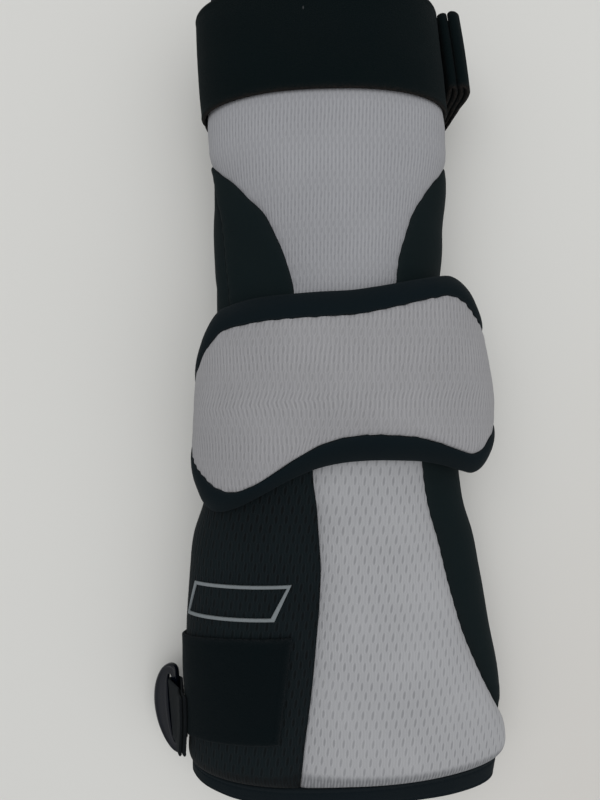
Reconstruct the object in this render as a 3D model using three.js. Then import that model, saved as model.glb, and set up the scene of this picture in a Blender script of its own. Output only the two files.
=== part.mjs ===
// A padded sleeve that guards an arm in sport, lying on its back: a thin stretch sleeve with foam panels over
// the upper arm and the forearm, a saddle-shaped elbow cap, an elastic strap round the upper arm, and a
// forearm strap with a plastic D-ring. X runs across the arm, Y from the cuff to the shoulder end, Z up.
import * as THREE from "three";

// Driving sizes, in millimetres. Angles are in degrees, and turn is the angle round the sleeve: 0 is its
// right side, 90 the top, 180 its left side and 270 the middle of its back.
const padLength = 406;
const sleeveReach = 86; // from the middle line to the right side at the cuff, where the sleeve is widest
const sleeveHeight = 65.5; // from the table to the top seam level at the upper strap
const sleeveWall = 2.2; // lining and shell fabric under the foam
const seamGap = 0.45; // between panels that meet edge to edge
const layerGap = 0.45; // between a layer and the one it lies on
const frontSquareness = 2.15; // 2 is an ellipse, and more is boxier
const backSquareness = 2.8;
const backSag = 1.04; // the back sinks by this much, and the table flattens it

const elbowLine = 0.507; // where the upper and the forearm panels meet, as a share of the length
const topHemWidth = 16;
const bottomHemWidth = 10.5;
const hemLift = 0.9; // how far a hem stands over the seam level

const armFoam = 5.6; // foam over the seam level in the grey upper arm panel
const sideFoam = 0.9; // the black side panels of the upper arm are nearly unpadded
const forearmFoam = 6;
const meshSideFoam = 4.4; // the forearm's black mesh panel
const wedgeFoam = 3.4; // the forearm's right side panel
const elbowFoamShare = 0.35; // the share of the foam that is left where the elbow bends
const elbowBendReach = 32; // how far from the elbow line the foam stays thin
const elbowBendRise = 52; // over this length it rises to its full depth
const cuffRise = 6; // how far the right side is drawn back from the hand, most at the cuff's seam
const cuffRiseReach = 0.22; // as a share of the length
const cuffHemRise = 0.25; // the share of it at the hem's outer edge
const cuffLeftRise = 5; // how far the cuff's left side is drawn back
const cuffLeftRiseReach = 0.06;
const cuffRoll = 11; // over this length the forearm's foam rolls down to the hem
const foamFullness = 4; // the more, the flatter a panel is between its seams
const armFullness = 2.5;

const strapThickness = 1.9;
const upperStrapWidth = 50;
const upperStrapSlack = 4.4; // how far the strap stands loose at the sleeve's left side
const upperStrapLowSlack = 0.15; // the share of that at its edge towards the cuff
const upperStrapSag = 1.6; // how far it has slipped towards the cuff there
const strapEndThickness = 12; // the end is folded double, with a wide bend
const strapEndWidth = 48;
const strapEndRise = 7.2; // how far its bend lies towards the shoulder
const forearmStrapWidth = 52;
const forearmStrapPlace = 61; // the middle of its front end, from the cuff
const forearmStrapCut = 3; // its front end is cut askew, in degrees of turn

const capPlace = 3.5; // how far the cap's middle lies from the elbow line, towards the cuff
const capTurn = 86.5; // the way that its middle faces
const capHalfSpan = 112; // how far round the sleeve it reaches each way
const capUpperReach = 51.5; // from its middle line towards the shoulder
const capLowerReach = 51.5; // from its middle line towards the cuff
const capEndShift = 10.5; // how far its right end lies towards the shoulder
const capSeat = 1.5; // its underside's clearance over the foam that it lies on
const capFoam = 13;
const capSeamShare = 0.86; // the share of the foam at the seam between the face and the rim
const capEdge = 3; // its thickness at the outer edge
const capRimWidth = 12;
const capRimNarrowing = 0.4; // the share of that which is missing at its left and right ends
const capSeamGap = 1.3; // between its face and its rim, which meet aslant
const capStandOff = 5.5; // how far its right end stands clear of the sleeve
const capLeftThinning = 0.26; // the share of its foam that is missing at its left end
const capSquareness = 6; // 2 is an ellipse, and more is boxier

const ringLength = 48;
const ringDepth = 18.5;
const ringThickness = 3.4;
const ringBow = 10.5; // the width of the curved bar
const ringEnd = 5.5; // and at the hole's ends
const ringBar = 4.2; // the width of the straight bar
const ringBevel = 0.8;
const ringCorner = 4;
const ringPlace = 34; // the ring's middle, from the cuff
const ringLevel = 20; // the middle of its straight bar over the table
const ringSlope = 30;
const ringRoundness = 0.56; // how soon its outer outline leaves the straight ends, and its hole's
const ringHoleRoundness = 0.7;
const ringTwist = 5;
const keeperWidth = 32;
const keeperThickness = 1.4;

const badgeLength = 48.5;
const badgeHeight = 17.5;
const badgeSlant = 6.5;
const badgeTilt = 3;
const badgeLine = 1.7;
const badgeRelief = 0.7;
const badgePlace = 102; // its middle, from the cuff
const badgeTurn = 130.5;

// The sleeve's section at shares of its length from the cuff. Left, right and crown are shares of sleeveReach,
// crown being how far the top lies to the right of the middle line. Top is a share of sleeveHeight, widest the
// share of the height at which the section is widest, and rest how far a strap's thickness lifts the back.
const sleeveSections = [
  { along: 0, left: 0.84, right: 1.0, crown: -0.19, top: 0.72, widest: 0.41, rest: 1.0 },
  { along: 0.04, left: 0.835, right: 1.03, crown: -0.18, top: 0.765, widest: 0.41, rest: 1.1 },
  { along: 0.08, left: 0.825, right: 1.027, crown: -0.17, top: 0.78, widest: 0.43, rest: 1.2 },
  { along: 0.105, left: 0.825, right: 1.009, crown: -0.16, top: 0.79, widest: 0.44, rest: 1.2 },
  { along: 0.16, left: 0.836, right: 0.969, crown: -0.14, top: 0.8, widest: 0.46, rest: 1.2 },
  { along: 0.215, left: 0.836, right: 0.92, crown: -0.12, top: 0.81, widest: 0.47, rest: 1.0 },
  { along: 0.28, left: 0.815, right: 0.86, crown: -0.09, top: 0.825, widest: 0.48, rest: 0.6 },
  { along: 0.325, left: 0.795, right: 0.823, crown: -0.07, top: 0.84, widest: 0.49, rest: 0.4 },
  { along: 0.36, left: 0.75, right: 0.778, crown: -0.04, top: 0.865, widest: 0.5, rest: 0.4 },
  { along: 0.39, left: 0.722, right: 0.758, crown: -0.02, top: 0.89, widest: 0.51, rest: 0.4 },
  { along: 0.49, left: 0.677, right: 0.71, crown: 0.02, top: 0.97, widest: 0.53, rest: 0.4 },
  { along: 0.605, left: 0.68, right: 0.642, crown: 0.05, top: 0.95, widest: 0.55, rest: 0.4 },
  { along: 0.695, left: 0.697, right: 0.643, crown: 0.06, top: 0.965, widest: 0.56, rest: 0.5 },
  { along: 0.755, left: 0.69, right: 0.655, crown: 0.06, top: 0.985, widest: 0.57, rest: 0.9 },
  { along: 0.805, left: 0.705, right: 0.635, crown: 0.06, top: 1.0, widest: 0.57, rest: 1.2 },
  { along: 0.9, left: 0.715, right: 0.59, crown: 0.05, top: 1.0, widest: 0.57, rest: 1.2 },
  { along: 1, left: 0.695, right: 0.53, crown: 0.04, top: 0.97, widest: 0.57, rest: 1.1 },
];

// Where the seams run, as turns. A grey panel lies between right and left, and a black one on each side of it,
// as far as the back's seams.
const upperSeams = [
  { along: 0.507, rightBack: -10, right: 61.5, left: 110.9, leftBack: 150 },
  { along: 0.615, rightBack: -10, right: 61, left: 111.4, leftBack: 150 },
  { along: 0.657, rightBack: -10, right: 59.5, left: 115.4, leftBack: 152 },
  { along: 0.682, rightBack: -10, right: 56, left: 119.4, leftBack: 153 },
  { along: 0.71, rightBack: -9, right: 51, left: 125.4, leftBack: 156 },
  { along: 0.729, rightBack: -8, right: 44.5, left: 134, leftBack: 161 },
  { along: 0.749, rightBack: -6, right: 35, left: 144, leftBack: 168 },
  { along: 0.766, rightBack: -4, right: 21, left: 158, leftBack: 175 },
  { along: 0.783, rightBack: -2, right: 3, left: 176, leftBack: 180 },
];
const forearmSeams = [
  { along: 0, rightBack: -10, right: -4, left: 90.1, leftBack: 187 },
  { along: 0.065, rightBack: -10, right: 1, left: 89.6, leftBack: 187 },
  { along: 0.11, rightBack: -11, right: 15.9, left: 89.1, leftBack: 187 },
  { along: 0.145, rightBack: -11, right: 24.9, left: 88.7, leftBack: 187 },
  { along: 0.2, rightBack: -12, right: 33.4, left: 88.4, leftBack: 187 },
  { along: 0.255, rightBack: -12, right: 37.9, left: 88.5, leftBack: 186 },
  { along: 0.313, rightBack: -12, right: 41.7, left: 89.9, leftBack: 185 },
  { along: 0.36, rightBack: -12, right: 45.1, left: 94.1, leftBack: 184 },
  { along: 0.4, rightBack: -12, right: 47.9, left: 98.1, leftBack: 182 },
  { along: 0.507, rightBack: -12, right: 50.9, left: 103.6, leftBack: 178 },
];
const sideTips = 0.783; // where the black side panels run out in the side seams
const sideTipEnd = 0.793;

// How far the forearm strap drops towards the cuff on its way round, as a share of its width.
const forearmStrapCourse = [
  { along: 98.5, drop: 0 },
  { along: 130, drop: 0.04 },
  { along: 180, drop: 0.155 },
  { along: 270, drop: 0.27 },
  { along: 342, drop: 0.3 },
];

// How thick the strap's folded end is at the right side, by turn and as a share of its thickness at the bend.
const strapEndCourse = [
  { along: -44, thick: 0.3 },
  { along: -24, thick: 0.34 },
  { along: -12, thick: 0.56 },
  { along: -2, thick: 0.84 },
  { along: 6, thick: 1 },
  { along: 12, thick: 0.86 },
  { along: 16, thick: 0.45 },
];
const strapEndStart = -24; // the turn from which it rises towards the shoulder
const strapEndTaper = 0.22; // how much narrower its bend is, as a share of its width

// The elbow cap's outline: how far it reaches from its middle line, as shares of its greatest reach each way, at
// shares of its span from its left end to its right end.
const capOutline = [
  { along: -1, upper: 0.6, lower: 0.6 },
  { along: -0.8, upper: 0.75, lower: 0.77 },
  { along: -0.7, upper: 0.86, lower: 0.86 },
  { along: -0.6, upper: 0.94, lower: 0.96 },
  { along: -0.5, upper: 0.95, lower: 1.01 },
  { along: -0.4, upper: 0.955, lower: 0.97 },
  { along: -0.3, upper: 0.95, lower: 0.86 },
  { along: -0.2, upper: 0.94, lower: 0.735 },
  { along: -0.1, upper: 0.93, lower: 0.64 },
  { along: 0, upper: 0.92, lower: 0.6 },
  { along: 0.1, upper: 0.93, lower: 0.6 },
  { along: 0.2, upper: 0.95, lower: 0.625 },
  { along: 0.3, upper: 0.975, lower: 0.665 },
  { along: 0.4, upper: 1.0, lower: 0.735 },
  { along: 0.5, upper: 1.01, lower: 0.825 },
  { along: 0.6, upper: 0.95, lower: 0.89 },
  { along: 0.7, upper: 0.83, lower: 0.83 },
  { along: 0.8, upper: 0.74, lower: 0.75 },
  { along: 1, upper: 0.6, lower: 0.6 },
];

// The value of one column of a table at a place along it, smoothly between the rows.
function follow(table, column, along) {
  const last = table.length - 1;
  let row = 0;
  while (row < last - 1 && along > table[row + 1].along) row += 1;
  const slope = (i) => {
    const before = table[Math.max(i - 1, 0)];
    const after = table[Math.min(i + 1, last)];
    return (after[column] - before[column]) / (after.along - before.along);
  };
  const from = table[row];
  const to = table[row + 1];
  const span = to.along - from.along;
  const t = THREE.MathUtils.clamp((along - from.along) / span, 0, 1);
  const squared = t * t;
  const cubed = squared * t;
  return (
    (2 * cubed - 3 * squared + 1) * from[column] +
    (cubed - 2 * squared + t) * span * slope(row) +
    (3 * squared - 2 * cubed) * to[column] +
    (cubed - squared) * span * slope(row + 1)
  );
}

// The sleeve's outline at seam level, in the plane across the arm.
function seamLevel(along, turn) {
  const angle = THREE.MathUtils.degToRad(turn);
  const side = Math.cos(angle);
  const rise = Math.sin(angle);
  const crown = follow(sleeveSections, "crown", along) * sleeveReach;
  const right = follow(sleeveSections, "right", along) * sleeveReach - crown;
  const left = follow(sleeveSections, "left", along) * sleeveReach + crown;
  const top = follow(sleeveSections, "top", along) * sleeveHeight;
  const rest = THREE.MathUtils.clamp(follow(sleeveSections, "rest", along), 0, 1) * (strapThickness + layerGap);
  const widest = THREE.MathUtils.lerp(rest, top, follow(sleeveSections, "widest", along));
  const squareness = rise >= 0 ? frontSquareness : backSquareness;
  const push = (Math.abs(side) ** squareness + Math.abs(rise) ** squareness) ** (-1 / squareness);
  const height = rise >= 0 ? top - widest : (widest - rest) * backSag;
  return new THREE.Vector2(
    crown + (side >= 0 ? right : left) * side * push,
    Math.max(widest + height * rise * push, rest),
  );
}

// How far the sleeve's sides are drawn back from the hand near the cuff.
function cuffShift(along, turn) {
  const side = Math.cos(THREE.MathUtils.degToRad(turn));
  const fade = (reach) => side ** 2 * Math.max(0, 1 - along / reach) ** 2;
  if (side < 0) return cuffLeftRise * fade(cuffLeftRiseReach);
  const hem = THREE.MathUtils.clamp((along * padLength) / bottomHemWidth, 0, 1);
  return cuffRise * fade(cuffRiseReach) * THREE.MathUtils.lerp(cuffHemRise, 1, hem);
}

// A point over or under the seam level, by lift along the outline's normal.
function sleevePoint(along, turn, lift) {
  const step = 1.5;
  const at = seamLevel(along, turn);
  const before = seamLevel(along, turn - step);
  const after = seamLevel(along, turn + step);
  const normal = new THREE.Vector2(after.y - before.y, before.x - after.x).normalize();
  const away = along * padLength + cuffShift(along, turn);
  return new THREE.Vector3(at.x + normal.x * lift, away, at.y + normal.y * lift);
}

// How many degrees of turn make one millimetre round the sleeve.
function turnPerLength(along, turn) {
  const step = 1;
  return (2 * step) / seamLevel(along, turn - step).distanceTo(seamLevel(along, turn + step));
}

const topEdge = 1 - topHemWidth / padLength;
const cuffEdge = bottomHemWidth / padLength;
const upperAt = (column) => (along) => follow(upperSeams, column, along);
const forearmAt = (column) => (along) => follow(forearmSeams, column, along);

// The grey upper arm panel follows its curved seams, and past the tips of the black panels the side seams.
const pastTips = (side, back) => (along) => {
  const past = THREE.MathUtils.clamp((along - sideTips) / (sideTipEnd - sideTips), 0, 1);
  return THREE.MathUtils.lerp(upperAt(side)(along), upperAt(back)(along), past);
};

// The panels, between two places along the sleeve and two seams.
const panels = {
  upper_center_panel: {
    from: elbowLine,
    to: topEdge,
    start: pastTips("right", "rightBack"),
    end: pastTips("left", "leftBack"),
    foam: armFoam,
    fullness: armFullness,
    color: 0x919396,
    around: 18,
  },
  upper_right_panel: {
    from: elbowLine,
    to: sideTips,
    start: upperAt("rightBack"),
    end: upperAt("right"),
    foam: sideFoam,
    fullness: foamFullness,
    color: 0x14181a,
    around: 6,
  },
  upper_left_panel: {
    from: elbowLine,
    to: sideTips,
    start: upperAt("left"),
    end: upperAt("leftBack"),
    foam: sideFoam,
    fullness: foamFullness,
    color: 0x14181a,
    around: 6,
  },
  forearm_center_panel: {
    from: cuffEdge,
    to: elbowLine,
    start: forearmAt("right"),
    end: forearmAt("left"),
    foam: forearmFoam,
    fullness: foamFullness,
    color: 0xa0a2a4,
    around: 10,
  },
  forearm_right_panel: {
    from: cuffEdge,
    to: elbowLine,
    start: forearmAt("rightBack"),
    end: forearmAt("right"),
    foam: wedgeFoam,
    fullness: foamFullness,
    color: 0x14181a,
    around: 6,
  },
  forearm_left_panel: {
    from: cuffEdge,
    to: elbowLine,
    start: forearmAt("left"),
    end: forearmAt("leftBack"),
    foam: meshSideFoam,
    fullness: foamFullness,
    color: 0x101416,
    around: 11,
  },
};

// The share of the foam at a distance from the elbow line, which is least where the elbow bends.
function elbowShare(along) {
  const beyond = Math.abs(along - elbowLine) * padLength - elbowBendReach;
  return THREE.MathUtils.lerp(elbowFoamShare, 1, THREE.MathUtils.smoothstep(beyond, 0, elbowBendRise));
}

// Foam is full in the middle of a panel, and runs out at its seams and over the cuff's roll.
function foamLift(panel, along, turn) {
  const start = panel.start(along);
  const end = panel.end(along);
  const share = (2 * (turn - start)) / (end - start) - 1;
  const width = (end - start) / turnPerLength(along, (start + end) / 2);
  const narrow = Math.min(1, width / (4 * panel.foam));
  const roll = THREE.MathUtils.clamp(((along - cuffEdge) * padLength) / cuffRoll, 0, 1);
  const full = 1 - Math.abs(share) ** panel.fullness;
  return panel.foam * narrow * elbowShare(along) * Math.sqrt(roll * (2 - roll)) * full;
}

// How far the sleeve's outside stands over the seam level, wherever that is.
function outerLift(along, turn) {
  const wrapped = turn > 270 ? turn - 360 : turn;
  const covers = (panel) =>
    along >= panel.from && along <= panel.to && wrapped >= panel.start(along) && wrapped <= panel.end(along);
  const panel = Object.values(panels).find(covers);
  return panel ? foamLift(panel, along, wrapped) : 0;
}

function volumeOf(points, faces) {
  let volume = 0;
  for (let i = 0; i < faces.length; i += 3) {
    const [a, b, c] = [points[faces[i]], points[faces[i + 1]], points[faces[i + 2]]];
    volume += a.dot(b.clone().cross(c)) / 6;
  }
  return volume;
}

// A closed body through loops of points. The loops close in a ring, or the first and last are filled with
// strips across a folded loop, or with fans about their middles.
function loft(loops, ends) {
  const rows = loops.length;
  const size = loops[0].length;
  const points = loops.flat();
  const faces = [];
  const quad = (a, b, c, d) => faces.push(a, b, c, a, c, d);
  const lastRow = ends === "ring" ? rows : rows - 1;
  for (let row = 0; row < lastRow; row += 1) {
    const next = (row + 1) % rows;
    for (let i = 0; i < size; i += 1) {
      const after = (i + 1) % size;
      quad(row * size + i, row * size + after, next * size + after, next * size + i);
    }
  }
  if (ends === "strips") {
    const far = (rows - 1) * size;
    for (let i = 0; i < size / 2 - 1; i += 1) {
      quad(i, size - 1 - i, size - 2 - i, i + 1);
      quad(far + i, far + i + 1, far + size - 2 - i, far + size - 1 - i);
    }
  }
  if (ends === "fans") {
    for (const row of [0, rows - 1]) {
      const middle = new THREE.Vector3();
      loops[row].forEach((point) => middle.addScaledVector(point, 1 / size));
      points.push(middle);
      for (let i = 0; i < size; i += 1) {
        const pair = [row * size + i, row * size + ((i + 1) % size)];
        faces.push(points.length - 1, ...(row === 0 ? pair.reverse() : pair));
      }
    }
  }
  const geometry = new THREE.BufferGeometry().setFromPoints(points);
  geometry.setIndex(volumeOf(points, faces) < 0 ? faces.reverse() : faces);
  geometry.computeVertexNormals();
  return geometry;
}

const spread = (from, to, steps) =>
  Array.from({ length: steps + 1 }, (_, i) => THREE.MathUtils.lerp(from, to, i / steps));

// The places along the sleeve at which the panels and the back are lofted, from one edge to another.
const halfGap = seamGap / 2 / padLength;
const cuffStart = cuffEdge + 2 * halfGap;
const rollPlaces = [0, 0.12, 0.4].map((share) => cuffStart + (share * cuffRoll) / padLength);
const forearmPlaces = [...rollPlaces, ...spread(cuffStart + cuffRoll / padLength, elbowLine - halfGap, 11)];
const upperPlaces = [
  ...spread(elbowLine + halfGap, 0.62, 3),
  ...spread(0.65, 0.74, 3),
  ...spread(0.75, sideTips - halfGap, 4),
  sideTipEnd,
  ...spread(0.84, topEdge - 2 * halfGap, 2),
];

// Half the gap at a seam, in degrees of turn, which is more where the seam runs aslant.
function seamInset(along, seam) {
  const step = 0.004;
  const perLength = turnPerLength(along, seam(along));
  const drift = (seam(along + step) - seam(along - step)) / perLength / (2 * step * padLength);
  return (seamGap / 2) * perLength * Math.hypot(1, drift);
}

// A fabric wall between two seams, as a folded loop: the outside, and then the lining back again.
function wallLoop(along, start, end, around, liftAt) {
  const from = start(along) + seamInset(along, start);
  const to = end(along) - seamInset(along, end);
  const turns = spread(-1, 1, around).map((share) => {
    const eased = 0.7 * share + 0.3 * Math.sin((share * Math.PI) / 2);
    return THREE.MathUtils.lerp(from, to, (1 + eased) / 2);
  });
  const outer = turns.map((turn) => sleevePoint(along, turn, liftAt(turn)));
  const inner = turns.map((turn) => sleevePoint(along, turn, -sleeveWall));
  return [...outer, ...inner.reverse()];
}

function panelGeometry(panel) {
  const places = panel.from === elbowLine ? upperPlaces : forearmPlaces;
  const loops = places
    .filter((along) => along < panel.to)
    .map((along) => wallLoop(along, panel.start, panel.end, panel.around, (turn) => foamLift(panel, along, turn)));
  return loft(loops, "strips");
}

// The thin back, from the left side seams round under the arm to the right side seams.
function backGeometry() {
  const seamsAt = (along) => (along < elbowLine ? forearmSeams : upperSeams);
  const start = (along) => follow(seamsAt(along), "leftBack", along);
  const end = (along) => follow(seamsAt(along), "rightBack", along) + 360;
  return loft(
    [...forearmPlaces, ...upperPlaces].map((along) => wallLoop(along, start, end, 23, () => 0)),
    "strips",
  );
}

// A hem that lies all round the sleeve between two places.
function hemGeometry(from, to) {
  const loops = spread(0, 360, 48)
    .slice(1)
    .map((turn) => [
      sleevePoint(from, turn, -sleeveWall),
      sleevePoint(to, turn, -sleeveWall),
      sleevePoint(to, turn, hemLift),
      sleevePoint(from, turn, hemLift),
    ]);
  return loft(loops, "ring");
}

// The upper strap lies against the top hem's edge, and stands loose at the left, more towards the shoulder.
const upperStrapEdge = padLength - topHemWidth - seamGap;
const upperStrapPlace = upperStrapEdge - upperStrapWidth / 2;
function strapLooseness(turn) {
  return Math.max(0, 1 - ((turn - 172) / 62) ** 2) ** 2;
}
function upperStrapPoint(share, width, turn, lift) {
  const away = upperStrapPlace + share * width;
  const towardsTop = 1 - (upperStrapEdge - away) / upperStrapWidth;
  const loose = strapLooseness(turn);
  const slack = upperStrapSlack * loose * THREE.MathUtils.lerp(upperStrapLowSlack, 1, towardsTop);
  const along = away / padLength;
  const point = sleevePoint(along, turn, outerLift(along, turn) + layerGap + slack + lift);
  point.y -= upperStrapSag * loose;
  return point;
}

function upperStrapGeometry() {
  const shares = [-0.5, 0, 0.5];
  const loops = spread(-90, 270, 60)
    .slice(1)
    .map((turn) => [
      ...shares.map((share) => upperStrapPoint(share, upperStrapWidth, turn, 0)),
      ...shares.map((share) => upperStrapPoint(share, upperStrapWidth, turn, strapThickness)).reverse(),
    ]);
  return loft(loops, "ring");
}

// A band along a path across the arm. Each stop is a row of points over its width, and its thickness there lies
// in the plane across the arm.
function bandGeometry(stops, thicknessAt) {
  const loops = stops.map((row, i) => {
    const before = stops[Math.max(i - 1, 0)];
    const after = stops[Math.min(i + 1, stops.length - 1)];
    const face = (side) =>
      row.map((point, j) => {
        const run = new THREE.Vector2(after[j].x - before[j].x, after[j].z - before[j].z).normalize();
        const shift = new THREE.Vector3(run.y, 0, -run.x).multiplyScalar((side * thicknessAt(i)) / 2);
        return shift.add(point);
      });
    return [...face(-1), ...face(1).reverse()];
  });
  return loft(loops, "strips");
}

function upperStrapEndGeometry() {
  const turns = spread(strapEndCourse[0].along, strapEndCourse.at(-1).along, 14);
  const thicknessAt = (i) => strapEndThickness * follow(strapEndCourse, "thick", turns[i]);
  const stops = turns.map((turn, i) =>
    [-0.5, 0, 0.5].map((share) => {
      const bend = THREE.MathUtils.smoothstep(turn, strapEndStart, strapEndCourse.at(-1).along);
      const lift = strapThickness + layerGap + thicknessAt(i) / 2;
      const point = upperStrapPoint(share, strapEndWidth, turn, lift);
      point.y += bend * (strapEndRise - share * strapEndTaper * strapEndWidth);
      return point;
    }),
  );
  return bandGeometry(stops, thicknessAt);
}

// The forearm strap goes from its front end round the left side and the back to the right side seam.
function forearmStrapPoint(turn, share, lift) {
  const drop = follow(forearmStrapCourse, "drop", turn);
  const along = (forearmStrapPlace + (share - drop) * forearmStrapWidth) / padLength;
  return sleevePoint(along, turn, outerLift(along, turn) + layerGap + lift);
}

function forearmStrapGeometry() {
  const [first, last] = [forearmStrapCourse[0].along, forearmStrapCourse.at(-1).along];
  const shares = spread(-0.5, 0.5, 3);
  const loops = spread(0, 1, 46).map((way) => {
    const turnAt = (share) => THREE.MathUtils.lerp(first + (0.5 - share) * forearmStrapCut, last, way);
    return [
      ...shares.map((share) => forearmStrapPoint(turnAt(share), share, 0)),
      ...shares.map((share) => forearmStrapPoint(turnAt(share), share, strapThickness)).reverse(),
    ];
  });
  return loft(loops, "strips");
}

// A place on the elbow cap: its direction from the middle, its share of the way out, and how far in from
// the outer edge that way ends.
function capSpot(direction, share, inset) {
  const angle = THREE.MathUtils.degToRad(direction);
  const side = Math.cos(angle);
  const rise = Math.sin(angle);
  const push = (Math.abs(side) ** capSquareness + Math.abs(rise) ** capSquareness) ** (-1 / capSquareness);
  const across = side * push;
  const beyond = (capRimWidth - inset) * (1 - capRimNarrowing * across ** 2);
  const endTurn = capHalfSpan - (capRimWidth - beyond) * turnPerLength(elbowLine, 0);
  const upward = rise >= 0;
  const reach = upward ? capUpperReach : capLowerReach;
  const outline = follow(capOutline, upward ? "upper" : "lower", across) * reach - capRimWidth + beyond;
  const up = rise * push * outline * share;
  const middle = elbowLine * padLength - capPlace + capEndShift * across * share;
  return { turn: capTurn - across * share * endTurn, along: (middle + up) / padLength };
}

// The cap's underside clears the foam that it lies on, and its right end stands off.
function capFloor(along, turn) {
  const facing = Math.max(0, Math.sin(THREE.MathUtils.degToRad(turn)));
  const right = Math.max(0, Math.cos(THREE.MathUtils.degToRad(turn)));
  const foam = THREE.MathUtils.lerp(meshSideFoam, Math.max(armFoam, forearmFoam), facing);
  return capSeat + foam * elbowShare(along) + capStandOff * right * right;
}

function capPoint(direction, share, inset, thickness) {
  const { turn, along } = capSpot(direction, share, inset);
  const left = Math.max(0, -Math.cos(THREE.MathUtils.degToRad(turn)));
  const thinned = thickness * (1 - capLeftThinning * left ** 2);
  return sleevePoint(along, turn, capFloor(along, turn) + thinned);
}

const capDirections = spread(0, 360, 44).slice(1);

function capFaceGeometry() {
  const rings = [0.2, 0.45, 0.7, 0.88, 1];
  const inset = capRimWidth + capSeamGap / 2;
  const puff = (share) => capFoam * (1 - (1 - capSeamShare) * share ** 4);
  const top = rings.map((share) => capDirections.map((way) => capPoint(way, share, inset, puff(share))));
  const bottom = rings.map((share) => capDirections.map((way) => capPoint(way, share, inset, 0)));
  return loft([...top, ...bottom.reverse()], "fans");
}

function capRimGeometry() {
  const inner = capRimWidth - capSeamGap / 2;
  const loops = capDirections.map((way) => {
    const slope = spread(0, 1, 4).map((step) => {
      const share = Math.cos((step * Math.PI) / 2) ** 0.8;
      return capPoint(way, 1, inner * (1 - step), THREE.MathUtils.lerp(capEdge, capFoam * capSeamShare, share));
    });
    const underside = [0, inner / 2, inner].map((inset) => capPoint(way, 1, inset, 0));
    return [...slope, ...underside];
  });
  return loft(loops, "ring");
}

// The D-ring's outline, drawn flat with its straight bar along Y and its bow to the left.
function ringOutline(bowInset, barInset, endInset, roundness) {
  const half = ringLength / 2 - endInset;
  const depth = ringDepth - bowInset - barInset;
  const corner = Math.min(ringCorner, depth / 3);
  const left = -barInset - depth;
  const shape = new THREE.Shape();
  shape.moveTo(-barInset, -half + corner);
  shape.lineTo(-barInset, half - corner);
  shape.quadraticCurveTo(-barInset, half, -barInset - corner, half);
  const deep = -barInset - depth * roundness;
  shape.bezierCurveTo(deep, half, left, half * 0.55, left, 0);
  shape.bezierCurveTo(left, -half * 0.55, deep, -half, -barInset - corner, -half);
  shape.quadraticCurveTo(-barInset, -half, -barInset, -half + corner);
  return shape;
}

function ringGeometry() {
  const shape = ringOutline(ringBevel, ringBevel, ringBevel, ringRoundness);
  const [bow, bar, end] = [ringBow - ringBevel, ringBar - ringBevel, ringEnd - ringBevel];
  shape.holes.push(ringOutline(bow, bar, end, ringHoleRoundness));
  const geometry = new THREE.ExtrudeGeometry(shape, {
    depth: ringThickness - 2 * ringBevel,
    bevelThickness: ringBevel,
    bevelSize: ringBevel,
    bevelSegments: 2,
    curveSegments: 7,
  });
  return geometry.translate(ringBar / 2, 0, -(ringThickness - 2 * ringBevel) / 2);
}

// The straight bar lies outside the forearm strap at the left side, in the keeper's bend, and both are twisted
// round the ring's middle, so that its nearer end is the one that clears the strap.
const keeperBend = ringBar / 2 + layerGap + keeperThickness / 2;
const twistDrift = Math.tan(THREE.MathUtils.degToRad(ringTwist));
function keeperSeat(turn, shift, layer) {
  const drop = follow(forearmStrapCourse, "drop", turn);
  const share = (ringPlace + shift - forearmStrapPlace) / forearmStrapWidth + drop;
  const lift = strapThickness + layerGap + keeperThickness / 2 + layer * (layerGap + keeperThickness);
  return forearmStrapPoint(turn, share, lift);
}
function ringBarMiddle() {
  const seat = keeperSeat(180, -keeperWidth / 2, 0);
  return new THREE.Vector2(seat.x - keeperBend - (twistDrift * keeperWidth) / 2, ringLevel);
}

// The keeper is a loop of webbing: down the strap's side, round under the bar, and up again outside itself.
function keeperGeometry() {
  const bar = ringBarMiddle();
  const row = (pointAt) => [-0.5, 0, 0.5].map((share) => pointAt(share * keeperWidth));
  const seated = (layer) => (turn) => row((shift) => keeperSeat(turn, shift, layer));
  const round = spread(-10, -190, 9).map((angle) => {
    const bend = THREE.MathUtils.degToRad(angle);
    const [x, z] = [bar.x + keeperBend * Math.cos(bend), bar.y + keeperBend * Math.sin(bend)];
    return row((shift) => new THREE.Vector3(x - twistDrift * shift, ringPlace + shift, z));
  });
  const stops = [...[158, 165, 172].map(seated(0)), ...round, ...[172, 165, 160].map(seated(1))];
  return bandGeometry(stops, () => keeperThickness);
}

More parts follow.
